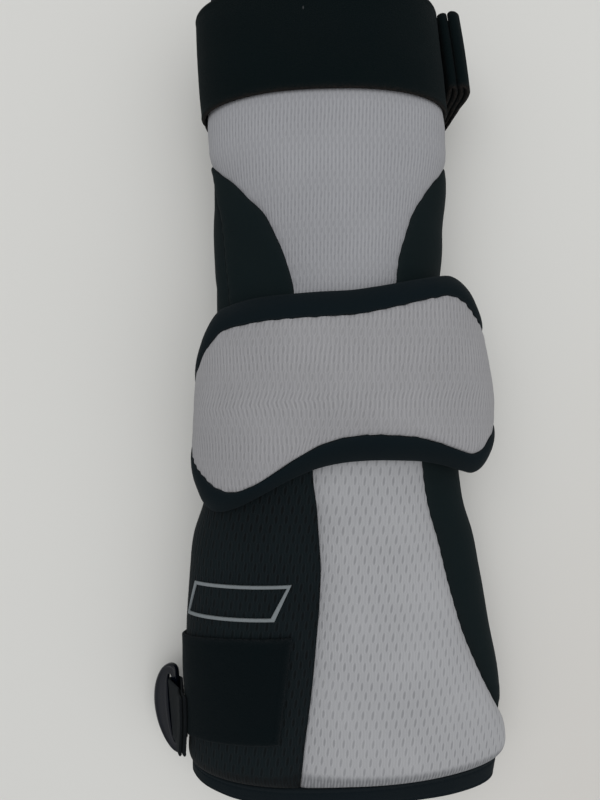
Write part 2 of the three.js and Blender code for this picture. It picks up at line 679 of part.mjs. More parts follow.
// The badge: a raised outline of a slanted box on the forearm's black mesh.
function badgeGeometry() {
  const tilt = THREE.MathUtils.degToRad(badgeTilt);
  const corners = [
    [-badgeLength - badgeSlant, -badgeHeight],
    [badgeLength - badgeSlant, -badgeHeight],
    [badgeLength + badgeSlant, badgeHeight],
    [-badgeLength + badgeSlant, badgeHeight],
  ].map(([x, y]) => [x / 2, y / 2]);
  const place = (x, y, line, lift) => {
    const [wide, tall] = [x * (1 - (2 * line) / badgeLength), y * (1 - (2 * line) / badgeHeight)];
    const along = (badgePlace + tall * Math.cos(tilt) + wide * Math.sin(tilt)) / padLength;
    const out = wide * Math.cos(tilt) - tall * Math.sin(tilt);
    const turn = badgeTurn - out * turnPerLength(along, badgeTurn);
    return sleevePoint(along, turn, outerLift(along, turn) + layerGap + lift);
  };
  const loops = corners.flatMap(([x, y], i) => {
    const [nextX, nextY] = corners[(i + 1) % corners.length];
    return spread(0, 1, i % 2 ? 4 : 10)
      .slice(0, -1)
      .map((share) => {
        const at = [THREE.MathUtils.lerp(x, nextX, share), THREE.MathUtils.lerp(y, nextY, share)];
        const outer = [place(...at, 0, 0), place(...at, 0, badgeRelief)];
        const inner = [place(...at, badgeLine, badgeRelief), place(...at, badgeLine, 0)];
        return [...outer, ...inner];
      });
  });
  return loft(loops, "ring");
}

const pad = new THREE.Group();

function addPiece(name, geometry, color, roughness) {
  const mesh = new THREE.Mesh(geometry, new THREE.MeshStandardMaterial({ color, roughness, metalness: 0 }));
  mesh.name = name;
  pad.add(mesh);
  return mesh;
}

for (const [name, panel] of Object.entries(panels)) addPiece(name, panelGeometry(panel), panel.color, 0.85);
addPiece("sleeve_back", backGeometry(), 0x121416, 0.9);
addPiece("top_hem", hemGeometry(topEdge, 1), 0x0e1012, 0.8);
addPiece("bottom_hem", hemGeometry(0, cuffEdge), 0x0e1012, 0.8);
addPiece("elbow_cap_face", capFaceGeometry(), 0xa0a1a3, 0.8);
addPiece("elbow_cap_rim", capRimGeometry(), 0x0e1218, 0.75);
addPiece("upper_strap", upperStrapGeometry(), 0x0b0d0f, 0.95);
addPiece("upper_strap_end", upperStrapEndGeometry(), 0x101010, 0.95);
addPiece("forearm_strap", forearmStrapGeometry(), 0x0a0f12, 0.95);
addPiece("ring_keeper", keeperGeometry(), 0x101214, 0.9);
addPiece("badge_frame", badgeGeometry(), 0x8b9193, 0.6);

const ring = addPiece("forearm_ring", ringGeometry(), 0x0a0c14, 0.25);
const ringBarPlace = ringBarMiddle();
ring.position.set(ringBarPlace.x, ringPlace, ringBarPlace.y);
ring.rotation.order = "ZYX";
ring.rotation.set(0, THREE.MathUtils.degToRad(-ringSlope), THREE.MathUtils.degToRad(ringTwist));

// The origin is in the middle of the pad's box, on the table.
pad.updateMatrixWorld(true);
const box = new THREE.Box3().setFromObject(pad, true);
pad.position.set(-(box.min.x + box.max.x) / 2, -(box.min.y + box.max.y) / 2, -box.min.z);

export default pad;
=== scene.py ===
import math
import bpy
import numpy as np
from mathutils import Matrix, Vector


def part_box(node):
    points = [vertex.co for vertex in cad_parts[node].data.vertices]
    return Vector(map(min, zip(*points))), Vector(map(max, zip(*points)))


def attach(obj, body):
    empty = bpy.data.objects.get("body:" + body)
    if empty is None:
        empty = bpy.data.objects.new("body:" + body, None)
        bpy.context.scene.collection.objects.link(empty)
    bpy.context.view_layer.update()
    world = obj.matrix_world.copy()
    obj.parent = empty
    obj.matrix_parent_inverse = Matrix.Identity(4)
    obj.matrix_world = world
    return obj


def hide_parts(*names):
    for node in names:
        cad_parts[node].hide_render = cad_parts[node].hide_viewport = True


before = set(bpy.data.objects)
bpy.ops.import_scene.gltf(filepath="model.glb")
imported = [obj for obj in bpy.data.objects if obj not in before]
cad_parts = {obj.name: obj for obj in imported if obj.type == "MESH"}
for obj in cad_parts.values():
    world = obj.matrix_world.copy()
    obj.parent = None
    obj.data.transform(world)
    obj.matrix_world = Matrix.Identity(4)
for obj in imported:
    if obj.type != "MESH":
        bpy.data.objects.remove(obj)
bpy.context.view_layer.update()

# A padded sleeve for one arm, lying on its back. Lengths are in millimetres and angles in degrees until a
# mesh is made, which is in metres. A turn is the angle round the sleeve: 0 its right side, 90 the top, 180
# its left side and 270 the middle of its back. Along is a share of the length from the cuff.

sleeve = {
    "length": 406,
    "reach": 86,
    "height": 65.5,
    "wall": 2.2,
    "seamGap": 0.1,
    "layerGap": 0.45,
    "strapThickness": 1.9,
    "frontSquareness": 2.15,
    "backSquareness": 2.8,
    "backSag": 1.04,
    "elbow": 0.507,
    "topEdge": 0.9606,
    "cuffEdge": 0.0259,
    "hemLift": 0.9,
    "elbowFoamShare": 0.35,
    "elbowBendReach": 32,
    "elbowBendRise": 52,
    "cuffRise": 6,
    "cuffRiseReach": 0.22,
    "cuffHemRise": 0.25,
    "cuffLeftRise": 5,
    "cuffLeftRiseReach": 0.06,
    "cuffRoll": 11,
    "normalStep": 1.5,
    "along": [0, 0.04, 0.08, 0.105, 0.16, 0.215, 0.28, 0.325, 0.36, 0.39, 0.49, 0.605, 0.695,
             0.755, 0.805, 0.9, 1],
    "left": [0.84, 0.835, 0.825, 0.825, 0.836, 0.836, 0.815, 0.795, 0.75, 0.722, 0.677, 0.68,
             0.697, 0.69, 0.705, 0.715, 0.695],
    "right": [1, 1.03, 1.027, 1.009, 0.969, 0.92, 0.86, 0.823, 0.778, 0.758, 0.71, 0.642, 0.643,
              0.655, 0.635, 0.59, 0.53],
    "crown": [-0.19, -0.18, -0.17, -0.16, -0.14, -0.12, -0.09, -0.07, -0.04, -0.02, 0.02, 0.05,
             0.06, 0.06, 0.06, 0.05, 0.04],
    "top": [0.72, 0.765, 0.78, 0.79, 0.8, 0.81, 0.825, 0.84, 0.865, 0.89, 0.97, 0.95, 0.965,
             0.985, 1, 1, 0.97],
    "widest": [0.41, 0.41, 0.43, 0.44, 0.46, 0.47, 0.48, 0.49, 0.5, 0.51, 0.53, 0.55, 0.56, 0.57,
             0.57, 0.57, 0.57],
    "rest": [1, 1.1, 1.2, 1.2, 1.2, 1, 0.6, 0.4, 0.4, 0.4, 0.4, 0.4, 0.5, 0.9, 1.2, 1.2, 1.1],
}

upperSeams = {
    "along": [0.507, 0.615, 0.657, 0.682, 0.71, 0.729, 0.749, 0.766, 0.783],
    "rightBack": [-10, -10, -10, -10, -9, -8, -6, -4, -2],
    "right": [61.5, 61, 59.5, 56, 51, 44.5, 35, 21, 3],
    "left": [110.9, 111.4, 115.4, 119.4, 125.4, 134, 144, 158, 176],
    "leftBack": [150, 150, 152, 153, 156, 161, 168, 175, 180],
}

forearmSeams = {
    "along": [0, 0.065, 0.11, 0.145, 0.2, 0.255, 0.313, 0.36, 0.4, 0.507],
    "rightBack": [-10, -10, -11, -11, -12, -12, -12, -12, -12, -12],
    "right": [-4, 1, 15.9, 24.9, 33.4, 37.9, 41.7, 45.1, 47.9, 50.9],
    "left": [90.1, 89.6, 89.1, 88.7, 88.4, 88.5, 89.9, 94.1, 98.1, 103.6],
    "leftBack": [187, 187, 187, 187, 187, 186, 185, 184, 182, 178],
}


def follow(table, column, along):
    # a smooth curve through a column of a table: cubic pieces, with the slope at a row taken from the rows
    # beside it
    at, value = np.array(table["along"], float), np.array(table[column], float)
    span = np.diff(at)
    slope = np.concatenate([[(value[1] - value[0]) / span[0]],
                            (value[2:] - value[:-2]) / (at[2:] - at[:-2]),
                            [(value[-1] - value[-2]) / span[-1]]])
    row = np.clip(np.searchsorted(at, along) - 1, 0, len(span) - 1)
    t = np.clip((along - at[row]) / span[row], 0, 1)
    return ((2 * t**3 - 3 * t**2 + 1) * value[row] + (t**3 - 2 * t**2 + t) * span[row] * slope[row]
            + (3 * t**2 - 2 * t**3) * value[row + 1] + (t**3 - t**2) * span[row] * slope[row + 1])


def smooth(value, low, high):
    # 0 up to low, 1 from high, and an even S between them
    t = np.clip((value - low) / (high - low), 0, 1)
    return t * t * (3 - 2 * t)


def seamLevel(along, turn):
    # the outline across the arm: a superellipse about the crown with its own reach to each side, flat on the
    # table
    side, rise = np.cos(np.radians(turn)), np.sin(np.radians(turn))
    crown = follow(sleeve, "crown", along) * sleeve["reach"]
    right = follow(sleeve, "right", along) * sleeve["reach"] - crown
    left = follow(sleeve, "left", along) * sleeve["reach"] + crown
    top = follow(sleeve, "top", along) * sleeve["height"]
    rest = np.clip(follow(sleeve, "rest", along), 0, 1) * (sleeve["strapThickness"] + sleeve["layerGap"])
    widest = rest + (top - rest) * follow(sleeve, "widest", along)
    power = np.where(rise >= 0, sleeve["frontSquareness"], sleeve["backSquareness"])
    push = (np.abs(side) ** power + np.abs(rise) ** power) ** (-1 / power)
    height = np.where(rise >= 0, top - widest, (widest - rest) * sleeve["backSag"])
    across = crown + np.where(side >= 0, right, left) * side * push
    return across, np.maximum(widest + height * rise * push, rest)


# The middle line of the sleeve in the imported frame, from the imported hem's right side.
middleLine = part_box("bottom_hem")[1].x * 1000 - (
    float(follow(sleeve, "right", sleeve["cuffEdge"])) * sleeve["reach"] + sleeve["hemLift"])


camera = {"right": -16, "up": -3, "height": 330, "focalPixels": 575, "imageHeight": 800, "sensor": 36,
          "nearest": 10}


def makeCamera():
    data = bpy.data.cameras.new("camera")
    data.sensor_width = camera["sensor"]
    data.lens = camera["focalPixels"] / camera["imageHeight"] * camera["sensor"]
    data.clip_start = camera["nearest"] / 1000
    eye = bpy.data.objects.new("camera", data)      # it looks straight down, with the shoulder end up
    eye.location = ((middleLine + camera["right"]) / 1000, camera["up"] / 1000, camera["height"] / 1000)
    bpy.context.scene.collection.objects.link(eye)
    bpy.context.scene.camera = eye


makeCamera()


def cuffShift(along, turn):
    # how far the sides are drawn back from the hand near the cuff, by the square of the distance from where
    # that ends
    side = np.cos(np.radians(turn))
    right = np.maximum(0, side) ** 2 * np.maximum(0, 1 - along / sleeve["cuffRiseReach"]) ** 2
    left = np.maximum(0, -side) ** 2 * np.maximum(0, 1 - along / sleeve["cuffLeftRiseReach"]) ** 2
    hem = sleeve["cuffHemRise"] + (1 - sleeve["cuffHemRise"]) * np.clip(along / sleeve["cuffEdge"], 0, 1)
    return sleeve["cuffRise"] * right * hem + sleeve["cuffLeftRise"] * left


def sleevePoint(along, turn, lift):
    # a point in metres over the seam level, by lift along the outline's normal, which two close turns give
    x, z = seamLevel(along, turn)
    beforeX, beforeZ = seamLevel(along, turn - sleeve["normalStep"])
    afterX, afterZ = seamLevel(along, turn + sleeve["normalStep"])
    normalX, normalZ = afterZ - beforeZ, beforeX - afterX
    size = np.hypot(normalX, normalZ)
    away = along * sleeve["length"] + cuffShift(along, turn)
    x, y, z = np.broadcast_arrays(x + normalX / size * lift, away, z + normalZ / size * lift)
    return np.stack([x + middleLine, y - sleeve["length"] / 2, np.maximum(z, 0)], -1) / 1000


def turnPerLength(along, turn, step=1):
    # the degrees of turn in one millimetre round the sleeve
    x, z = seamLevel(along, turn - step)
    nextX, nextZ = seamLevel(along, turn + step)
    return 2 * step / np.hypot(nextX - x, nextZ - z)


tipLine = upperSeams["along"][-1]
tipBlend = 0.01      # the share of the length over which a seam goes over to another past the tip


def pastTips(side, back):
    # the grey upper panel's seam, which goes over to the side seam past the tip of the black panel
    def seam(along):
        past = np.clip((along - tipLine) / tipBlend, 0, 1)
        return follow(upperSeams, side, along) * (1 - past) + follow(upperSeams, back, along) * past
    return seam


def seamOf(table, column):
    return lambda along: follow(table, column, along)


# Grain turn is the way that the knit's straight columns face. Puff is how uneven the surface is, and pucker
# how far the stitches pull it in along its seams.
upperSide = {"from": sleeve["elbow"], "to": tipLine, "foam": 0.9, "fullness": 4, "rows": 90, "puff": 0.45,
             "puffSize": 30, "pucker": 0.2, "slot": "smooth_black_fabric", "fill": 0.2}
forearmPart = {"from": sleeve["cuffEdge"], "to": sleeve["elbow"], "fullness": 4}
panels = {
    "upper_center_panel": {
        "from": sleeve["elbow"], "to": sleeve["topEdge"], "start": pastTips("right", "rightBack"),
        "end": pastTips("left", "leftBack"), "foam": 5.6, "fullness": 2.5, "rows": 150, "columns": 120,
        "grainTurn": 86, "puff": 0.3, "puffSize": 44, "pucker": 0.22, "seed": 3, "slot": "upper_grey_mesh",
        "fill": 0.7,
    },
    "upper_right_panel": {
        **upperSide, "start": seamOf(upperSeams, "rightBack"), "end": seamOf(upperSeams, "right"),
        "columns": 60, "grainTurn": 20, "seed": 5,
    },
    "upper_left_panel": {
        **upperSide, "start": seamOf(upperSeams, "left"), "end": seamOf(upperSeams, "leftBack"),
        "columns": 50, "grainTurn": 140, "seed": 7,
    },
    "forearm_center_panel": {
        **forearmPart, "start": seamOf(forearmSeams, "right"), "end": seamOf(forearmSeams, "left"),
        "foam": 6, "rows": 150, "columns": 90, "grainTurn": 74, "puff": 0.3, "puffSize": 50,
        "pucker": 0.25, "seed": 11, "slot": "lower_grey_mesh", "fill": 0.75,
    },
    "forearm_right_panel": {
        **forearmPart, "start": seamOf(forearmSeams, "rightBack"), "end": seamOf(forearmSeams, "right"),
        "foam": 3.4, "rows": 140, "columns": 60, "grainTurn": 15, "puff": 0.35, "puffSize": 42,
        "pucker": 0.2, "seed": 13, "slot": "smooth_black_fabric", "fill": 0.5,
    },
    "forearm_left_panel": {
        **forearmPart, "start": seamOf(forearmSeams, "left"), "end": seamOf(forearmSeams, "leftBack"),
        "foam": 4.4, "rows": 150, "columns": 96, "grainTurn": 125, "puff": 0.25, "puffSize": 46,
        "pucker": 0.22, "seed": 17, "slot": "black_mesh", "fill": 0.6,
    },
}
fullWidth = 4      # a panel narrower than this many times its foam holds less foam


def elbowShare(along):
    # the share of the foam that is left, which is least where the elbow bends
    beyond = np.abs(along - sleeve["elbow"]) * sleeve["length"] - sleeve["elbowBendReach"]
    least = sleeve["elbowFoamShare"]
    return least + (1 - least) * smooth(beyond, 0, sleeve["elbowBendRise"])


def foamLift(panel, along, turn):
    # full in the middle of a panel, less by a power of the way to its seams, and rolled down at the cuff
    start, end = panel["start"](along), panel["end"](along)
    share = 2 * (turn - start) / (end - start) - 1
    width = (end - start) / turnPerLength(along, (start + end) / 2)
    narrow = np.minimum(1, width / (fullWidth * panel["foam"]))
    roll = np.clip((along - sleeve["cuffEdge"]) * sleeve["length"] / sleeve["cuffRoll"], 0, 1)
    return panel["foam"] * narrow * elbowShare(along) * np.sqrt(roll * (2 - roll)) * (
        1 - np.abs(share) ** panel["fullness"])


def outerLift(along, turn):
    # how far the sleeve's outside stands over the seam level, wherever that is
    wrapped = np.where(turn > 270, turn - 360, turn)
    lift = np.zeros(np.broadcast(along, turn).shape)
    for panel in panels.values():
        covered = ((along >= panel["from"]) & (along <= panel["to"])
                   & (wrapped > panel["start"](along)) & (wrapped < panel["end"](along)))
        lift = np.where(covered, foamLift(panel, along, wrapped), lift)
    return lift


waves = {"count": 9, "shortest": 0.7, "longest": 1.5}


def unevenness(u, v, size, seed):
    # a gentle random surface, mostly from -1 to 1: sine waves of about one length, their ways and phases
    # drawn from a seed
    draw = np.random.default_rng(seed)
    ways = draw.uniform(0, 2 * np.pi, waves["count"])
    phases = draw.uniform(0, 2 * np.pi, waves["count"])
    stretches = draw.uniform(waves["shortest"], waves["longest"], waves["count"])
    total = 0
    for way, phase, stretch in zip(ways, phases, stretches):
        total = total + np.sin((u * np.cos(way) + v * np.sin(way)) * 2 * np.pi / (size * stretch) + phase)
    return total * 2 / waves["count"]


leastEdge = 0.12      # the share of a thickness that a rounded edge keeps
crowding = 0.4        # how much closer together rows lie towards their ends


def roundOff(distance, radius):
    # the share of a thickness that is left at a distance from a rounded edge: a quarter circle
    inside = 1 - np.clip(distance / radius, 0, 1)
    return np.maximum(np.sqrt(1 - inside**2), leastEdge)


def denseEnds(count):
    # places from -1 to 1 that lie closer together towards both ends
    even = np.linspace(-1, 1, count)
    return (1 - crowding) * even + crowding * np.sin(even * np.pi / 2)


def bump(distance, width):
    # 1 at no distance, fading evenly to both sides
    return np.exp(-(distance / width) ** 2)


def chordSums(points):
    # the length along each row of a grid of points, in millimetres from its first point
    steps = np.linalg.norm(np.diff(points, axis=1), axis=2) * 1000
    return np.concatenate([np.zeros((len(points), 1)), np.cumsum(steps, axis=1)], axis=1)


def loftPiece(name, loops, cloth, edge=None, ends="folded", shade=None):
    # A closed skin of quads through rows of loops. The rows close in a ring, or the first and last loop,
    # which are folded, are filled across the fold. Cloth holds the place of each point on the flat fabric, in
    # millimetres. Edge says how near it is to a cut edge or fold, and shade how much painted shade darkens
    # it where it rolls down at the cuff, both from 0 to 1.
    rows, size = loops.shape[:2]
    index = np.arange(rows * size).reshape(rows, size)
    lower, upper = (index, np.roll(index, -1, 0)) if ends == "ring" else (index[:-1], index[1:])
    quads = [np.stack([lower, np.roll(lower, -1, 1), np.roll(upper, -1, 1), upper], -1).reshape(-1, 4)]
    if ends == "folded":
        i = np.arange(size // 2 - 1)
        near, far = index[0], index[-1]
        quads += [np.stack([near[i], near[size - 1 - i], near[size - 2 - i], near[i + 1]], -1),
                  np.stack([far[i], far[i + 1], far[size - 2 - i], far[size - 1 - i]], -1)]
    quads = np.concatenate(quads)
    points = loops.reshape(-1, 3)
    a, b, c, d = (points[quads[:, i]] for i in range(4))
    volume = np.einsum("ij,ij->", a, np.cross(b, c)) + np.einsum("ij,ij->", a, np.cross(c, d))
    if volume < 0:
        quads = quads[:, ::-1]
    mesh = bpy.data.meshes.new(name)
    mesh.vertices.add(len(points))
    mesh.vertices.foreach_set("co", points.astype(np.float32).ravel())
    mesh.loops.add(quads.size)
    mesh.loops.foreach_set("vertex_index", quads.astype(np.int32).ravel())
    mesh.polygons.add(len(quads))
    mesh.polygons.foreach_set("loop_start", np.arange(0, quads.size, 4, dtype=np.int32))
    mesh.polygons.foreach_set("use_smooth", np.ones(len(quads), bool))
    mesh.update(calc_edges=True)
    flat = mesh.uv_layers.new(name="UVMap")
    flat.data.foreach_set("uv", (cloth.reshape(-1, 2)[quads.ravel()] / 1000).astype(np.float32).ravel())
    for label, values in (("edge", edge), ("shade", shade)):
        if values is not None:
            stored = mesh.attributes.new(label, "FLOAT", "POINT")
            stored.data.foreach_set("value", values.astype(np.float32).ravel())
    piece = bpy.data.objects.new(name, mesh)
    bpy.context.scene.collection.objects.link(piece)
    return piece


def foldedLoops(outer, inner):
    # each row's outside, and then its inside back again
    return np.concatenate([outer, inner[:, ::-1]], axis=1)


def twoSidedPiece(name, outer, inner, cloth, edge, ends="folded", shade=None):
    # a skin whose inside has the same place on the flat fabric as the outside over it
    size = outer.shape[:2]
    cloth, edge = np.broadcast_to(cloth, (*size, 2)), np.broadcast_to(edge, size)
    if shade is not None:
        shade = np.broadcast_to(shade, size)
        shade = foldedLoops(shade, shade)
    return loftPiece(name, foldedLoops(outer, inner), foldedLoops(cloth, cloth), foldedLoops(edge, edge),
                     ends, shade)


def flatPlaces(around, away):
    return np.stack(np.broadcast_arrays(around, away), -1)


def dress(piece, node, material):
    piece.data.materials.append(material)
    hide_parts(node)
    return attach(piece, "root")


def tint(red, green, blue):
    # a colour from its screen values of 0 to 255
    screen = np.array([red, green, blue]) / 255
    linear = np.where(screen <= 0.04045, screen / 12.92, ((screen + 0.055) / 1.055) ** 2.4)
    return (*linear.tolist(), 1)


def addNode(tree, kind, inputs, **settings):
    # a node with its settings, and its inputs set to numbers or linked to other nodes' outputs
    node = tree.nodes.new(kind)
    for key, value in settings.items():
        setattr(node, key, value)
    for socket, value in inputs.items():
        if isinstance(value, bpy.types.NodeSocket):
            tree.links.new(value, node.inputs[socket])
        else:
            node.inputs[socket].default_value = value
    return node


def calc(tree, operation, *values):
    return addNode(tree, "ShaderNodeMath", dict(enumerate(values)), operation=operation).outputs[0]


def ramp(tree, value, low, high, toLow=0, toHigh=1):
    # a smooth step from one value to another
    limits = {"From Min": low, "From Max": high, "To Min": toLow, "To Max": toHigh}
    return addNode(tree, "ShaderNodeMapRange", {"Value": value, **limits},
                   interpolation_type="SMOOTHSTEP").outputs["Result"]


def blend(tree, share, first, second):
    # the colour between two colours
    node = addNode(tree, "ShaderNodeMix", {}, data_type="RGBA")
    for socket, value in ((node.inputs[0], share), (node.inputs[6], first), (node.inputs[7], second)):
        if isinstance(value, bpy.types.NodeSocket):
            tree.links.new(value, socket)
        else:
            socket.default_value = value
    return node.outputs[2]


def noise(tree, place, scale, detail, roughness=0.5):
    return addNode(tree, "ShaderNodeTexNoise", {
        "Vector": place, "Scale": scale, "Detail": detail, "Roughness": roughness}).outputs["Fac"]


def newGroup(name, numbers, outputs):
    # a node group that takes a place and some numbers, and gives values
    group = bpy.data.node_groups.new(name, "ShaderNodeTree")
    group.interface.new_socket(name="Place", in_out="INPUT", socket_type="NodeSocketVector")
    for way, sockets in (("INPUT", numbers), ("OUTPUT", outputs)):
        for socket in sockets:
            group.interface.new_socket(name=socket, in_out=way, socket_type="NodeSocketFloat")
    return group, group.nodes.new("NodeGroupInput").outputs, group.nodes.new("NodeGroupOutput").inputs


# The knit wavers by a fine and a coarse noise. A slot's inside and the paler lip round it are given by the
# distance from the slot's middle, 1 at its edge.
knitShape = {
    "fineWaver": 130.0, "coarseWaver": 34.0, "coarseShare": 2.0, "swayAlong": 1.3, "lean": 0.12, "wide": 1.6,
    "tall": 2.6, "slotFull": 0.1, "slotEnd": 1.5, "lipStart": 1.1, "lipFull": 2.0, "lipEnd": 4.5,
    "ribHeight": 0.3, "lipHeight": 0.3,
}


def makeKnitGroup():
    # Long leaning slots in slanted rows: the flat fabric is cut in cells, each row shifted by a share of a
    # cell, and a slot is a long rounded shape in the middle of its cell. Fine ribs run along the fabric.
    tree, given, made = newGroup(
        "knit with long slots",
        ["Column Pitch", "Row Pitch", "Row Shift", "Slot Width", "Slot Length", "Rib Pitch", "Sway"],
        ["Slot", "Lip", "Rib", "Height"])
    fine = calc(tree, "SUBTRACT", noise(tree, given["Place"], knitShape["fineWaver"], detail=2.0), 0.5)
    coarse = calc(tree, "SUBTRACT", noise(tree, given["Place"], knitShape["coarseWaver"], detail=1.0),
                  0.5)
    both = calc(tree, "MULTIPLY_ADD", coarse, knitShape["coarseShare"], fine)
    sway = calc(tree, "MULTIPLY", both, given["Sway"])
    place = addNode(tree, "ShaderNodeSeparateXYZ", {"Vector": given["Place"]}).outputs
    across = calc(tree, "ADD", place["X"], sway)
    along = calc(tree, "MULTIPLY_ADD", sway, knitShape["swayAlong"], place["Y"])
    row = calc(tree, "DIVIDE", along, given["Row Pitch"])
    inRow = calc(tree, "MULTIPLY", calc(tree, "FRACT", row), given["Row Pitch"])
    leaning = calc(tree, "MULTIPLY_ADD", inRow, -knitShape["lean"], across)
    column = calc(tree, "ADD", calc(tree, "DIVIDE", leaning, given["Column Pitch"]),
                  calc(tree, "MULTIPLY", calc(tree, "FLOOR", row), given["Row Shift"]))
    reach = []
    for cell, pitch, size, power in ((column, "Column Pitch", "Slot Width", knitShape["wide"]),
                                     (row, "Row Pitch", "Slot Length", knitShape["tall"])):
        off = calc(tree, "ABSOLUTE", calc(tree, "SUBTRACT", calc(tree, "FRACT", cell), 0.5))
        half = calc(tree, "MULTIPLY", given[size], 0.5)
        inHalves = calc(tree, "DIVIDE", calc(tree, "MULTIPLY", off, given[pitch]), half)
        reach.append(calc(tree, "POWER", inHalves, power))
    reach = calc(tree, "ADD", *reach)
    slot = ramp(tree, reach, knitShape["slotFull"], knitShape["slotEnd"], 1, 0)
    lip = calc(tree, "MULTIPLY", ramp(tree, reach, knitShape["lipStart"], knitShape["lipFull"]),
               ramp(tree, reach, knitShape["lipFull"], knitShape["lipEnd"], 1, 0))
    ribWay = calc(tree, "MULTIPLY", calc(tree, "DIVIDE", across, given["Rib Pitch"]), 2 * math.pi)
    rib = calc(tree, "MULTIPLY_ADD", calc(tree, "COSINE", ribWay), 0.5, 0.5)
    raised = calc(tree, "ADD", calc(tree, "MULTIPLY", rib, knitShape["ribHeight"]),
                  calc(tree, "MULTIPLY", lip, knitShape["lipHeight"]))
    height = calc(tree, "SUBTRACT", raised, slot)
    for output, value in (("Slot", slot), ("Lip", lip), ("Rib", rib), ("Height", height)):
        tree.links.new(value, made[output])
    return tree


def makeGrainGroup():
    # fine threads or pile, and soft patches where the fabric has worn or caught the light unevenly
    tree, given, made = newGroup("fabric grain", ["Fine", "Patch"], ["Grain", "Patches"])
    grain = noise(tree, given["Place"], given["Fine"], detail=3.0, roughness=0.65)
    patches = noise(tree, given["Place"], given["Patch"], detail=4.0)
    tree.links.new(ramp(tree, grain, low=0.25, high=0.75), made["Grain"])
    tree.links.new(ramp(tree, patches, low=0.3, high=0.7), made["Patches"])
    return tree


lintSpecks = {"count": 260.0, "way": 0.6, "stretch": 0.45, "inside": 0.05, "outside": 0.16, "tone": 0.5,
              "color": tint(120, 122, 124)}


def makeLintGroup():
    # sparse pale specks of lint: small stretched cells, of which only the given share shows a dot
    tree, given, made = newGroup("lint specks", ["Share"], ["Specks"])
    stretched = addNode(tree, "ShaderNodeMapping", {
        "Vector": given["Place"], "Rotation": (0, 0, lintSpecks["way"]),
        "Scale": (1, lintSpecks["stretch"], 1)})
    cells = addNode(tree, "ShaderNodeTexVoronoi", {
        "Vector": stretched.outputs["Vector"], "Scale": lintSpecks["count"]}).outputs
    drawn = addNode(tree, "ShaderNodeSeparateColor", {"Color": cells["Color"]}).outputs[0]
    chosen = calc(tree, "LESS_THAN", drawn, given["Share"])
    dot = ramp(tree, cells["Distance"], lintSpecks["inside"], lintSpecks["outside"], 1, 0)
    tree.links.new(calc(tree, "MULTIPLY", dot, chosen), made["Specks"])
    return tree


knitGroup = makeKnitGroup()
grainGroup = makeGrainGroup()
lintGroup = makeLintGroup()


def useGroup(tree, group, inputs):
    return addNode(tree, "ShaderNodeGroup", inputs, node_tree=group)


def openMaterial(name, constants):
    # a material whose unchanging sockets are set on the shader itself
    material = bpy.data.materials.new(name)
    material.use_nodes = True
    shader = material.node_tree.nodes["Principled BSDF"]
    for socket, value in constants.items():
        shader.inputs[socket].default_value = value
    return material, material.node_tree, shader


def relief(tree, shader, strength, depth, height):
    bumped = addNode(tree, "ShaderNodeBump", {"Strength": strength, "Distance": depth, "Height": height})
    tree.links.new(bumped.outputs["Normal"], shader.inputs["Normal"])


def fabricValue(tree, label):
    # a value that the mesh holds for each of its points
    return addNode(tree, "ShaderNodeAttribute", {}, attribute_name=label).outputs["Fac"]


# The roll tones set how dark the painted shade is where the foam rolls down at the cuff, ribbed by the knit.
knitTones = {"grain": 0.3, "unevenSlots": 0.45, "roll": 0.42, "rollShadeRibs": 0.45, "grainHeight": 0.12,
             "depth": 0.0005}


def knitMaterial(name, look):
    # sports mesh: threads, darker slots that show the lining, ribs, a soft unevenness of tone, and painted
    # ribbed shade where the foam rolls down at the cuff
    material, tree, shader = openMaterial(name, {
        "Roughness": 0.9, "Sheen Weight": look["sheen"], "Sheen Roughness": 0.5,
        "Specular IOR Level": look["specular"]})
    flat = addNode(tree, "ShaderNodeTexCoord", {}).outputs["UV"]
    knit = useGroup(tree, knitGroup, {"Place": flat, **look["knit"]}).outputs
    grain = useGroup(tree, grainGroup, {"Place": flat, "Fine": 1500.0, "Patch": 30.0}).outputs
    uneven = calc(tree, "MULTIPLY_ADD", grain["Patches"], -knitTones["unevenSlots"] * look["slotTone"],
                  look["slotTone"])
    rollShadeTone = calc(tree, "MULTIPLY_ADD", knit["Rib"], knitTones["rollShadeRibs"], knitTones["roll"])
    color = blend(tree, grain["Patches"], look["thread"], look["threadPale"])
    for value, tone, over in ((knit["Rib"], look["ribTone"], "ribShade"),
                              (knit["Lip"], look["lipTone"], "lip"),
                              (grain["Grain"], knitTones["grain"], "shade"),
                              (knit["Slot"], uneven, "slotColor"),
                              (fabricValue(tree, "shade"), rollShadeTone, "paintedRollShade")):
        color = blend(tree, calc(tree, "MULTIPLY", value, tone), color, look[over])
    tree.links.new(color, shader.inputs["Base Color"])
    grainHeight = calc(tree, "MULTIPLY", grain["Grain"], knitTones["grainHeight"])
    relief(tree, shader, look["relief"], knitTones["depth"], calc(tree, "ADD", knit["Height"], grainHeight))
    return material


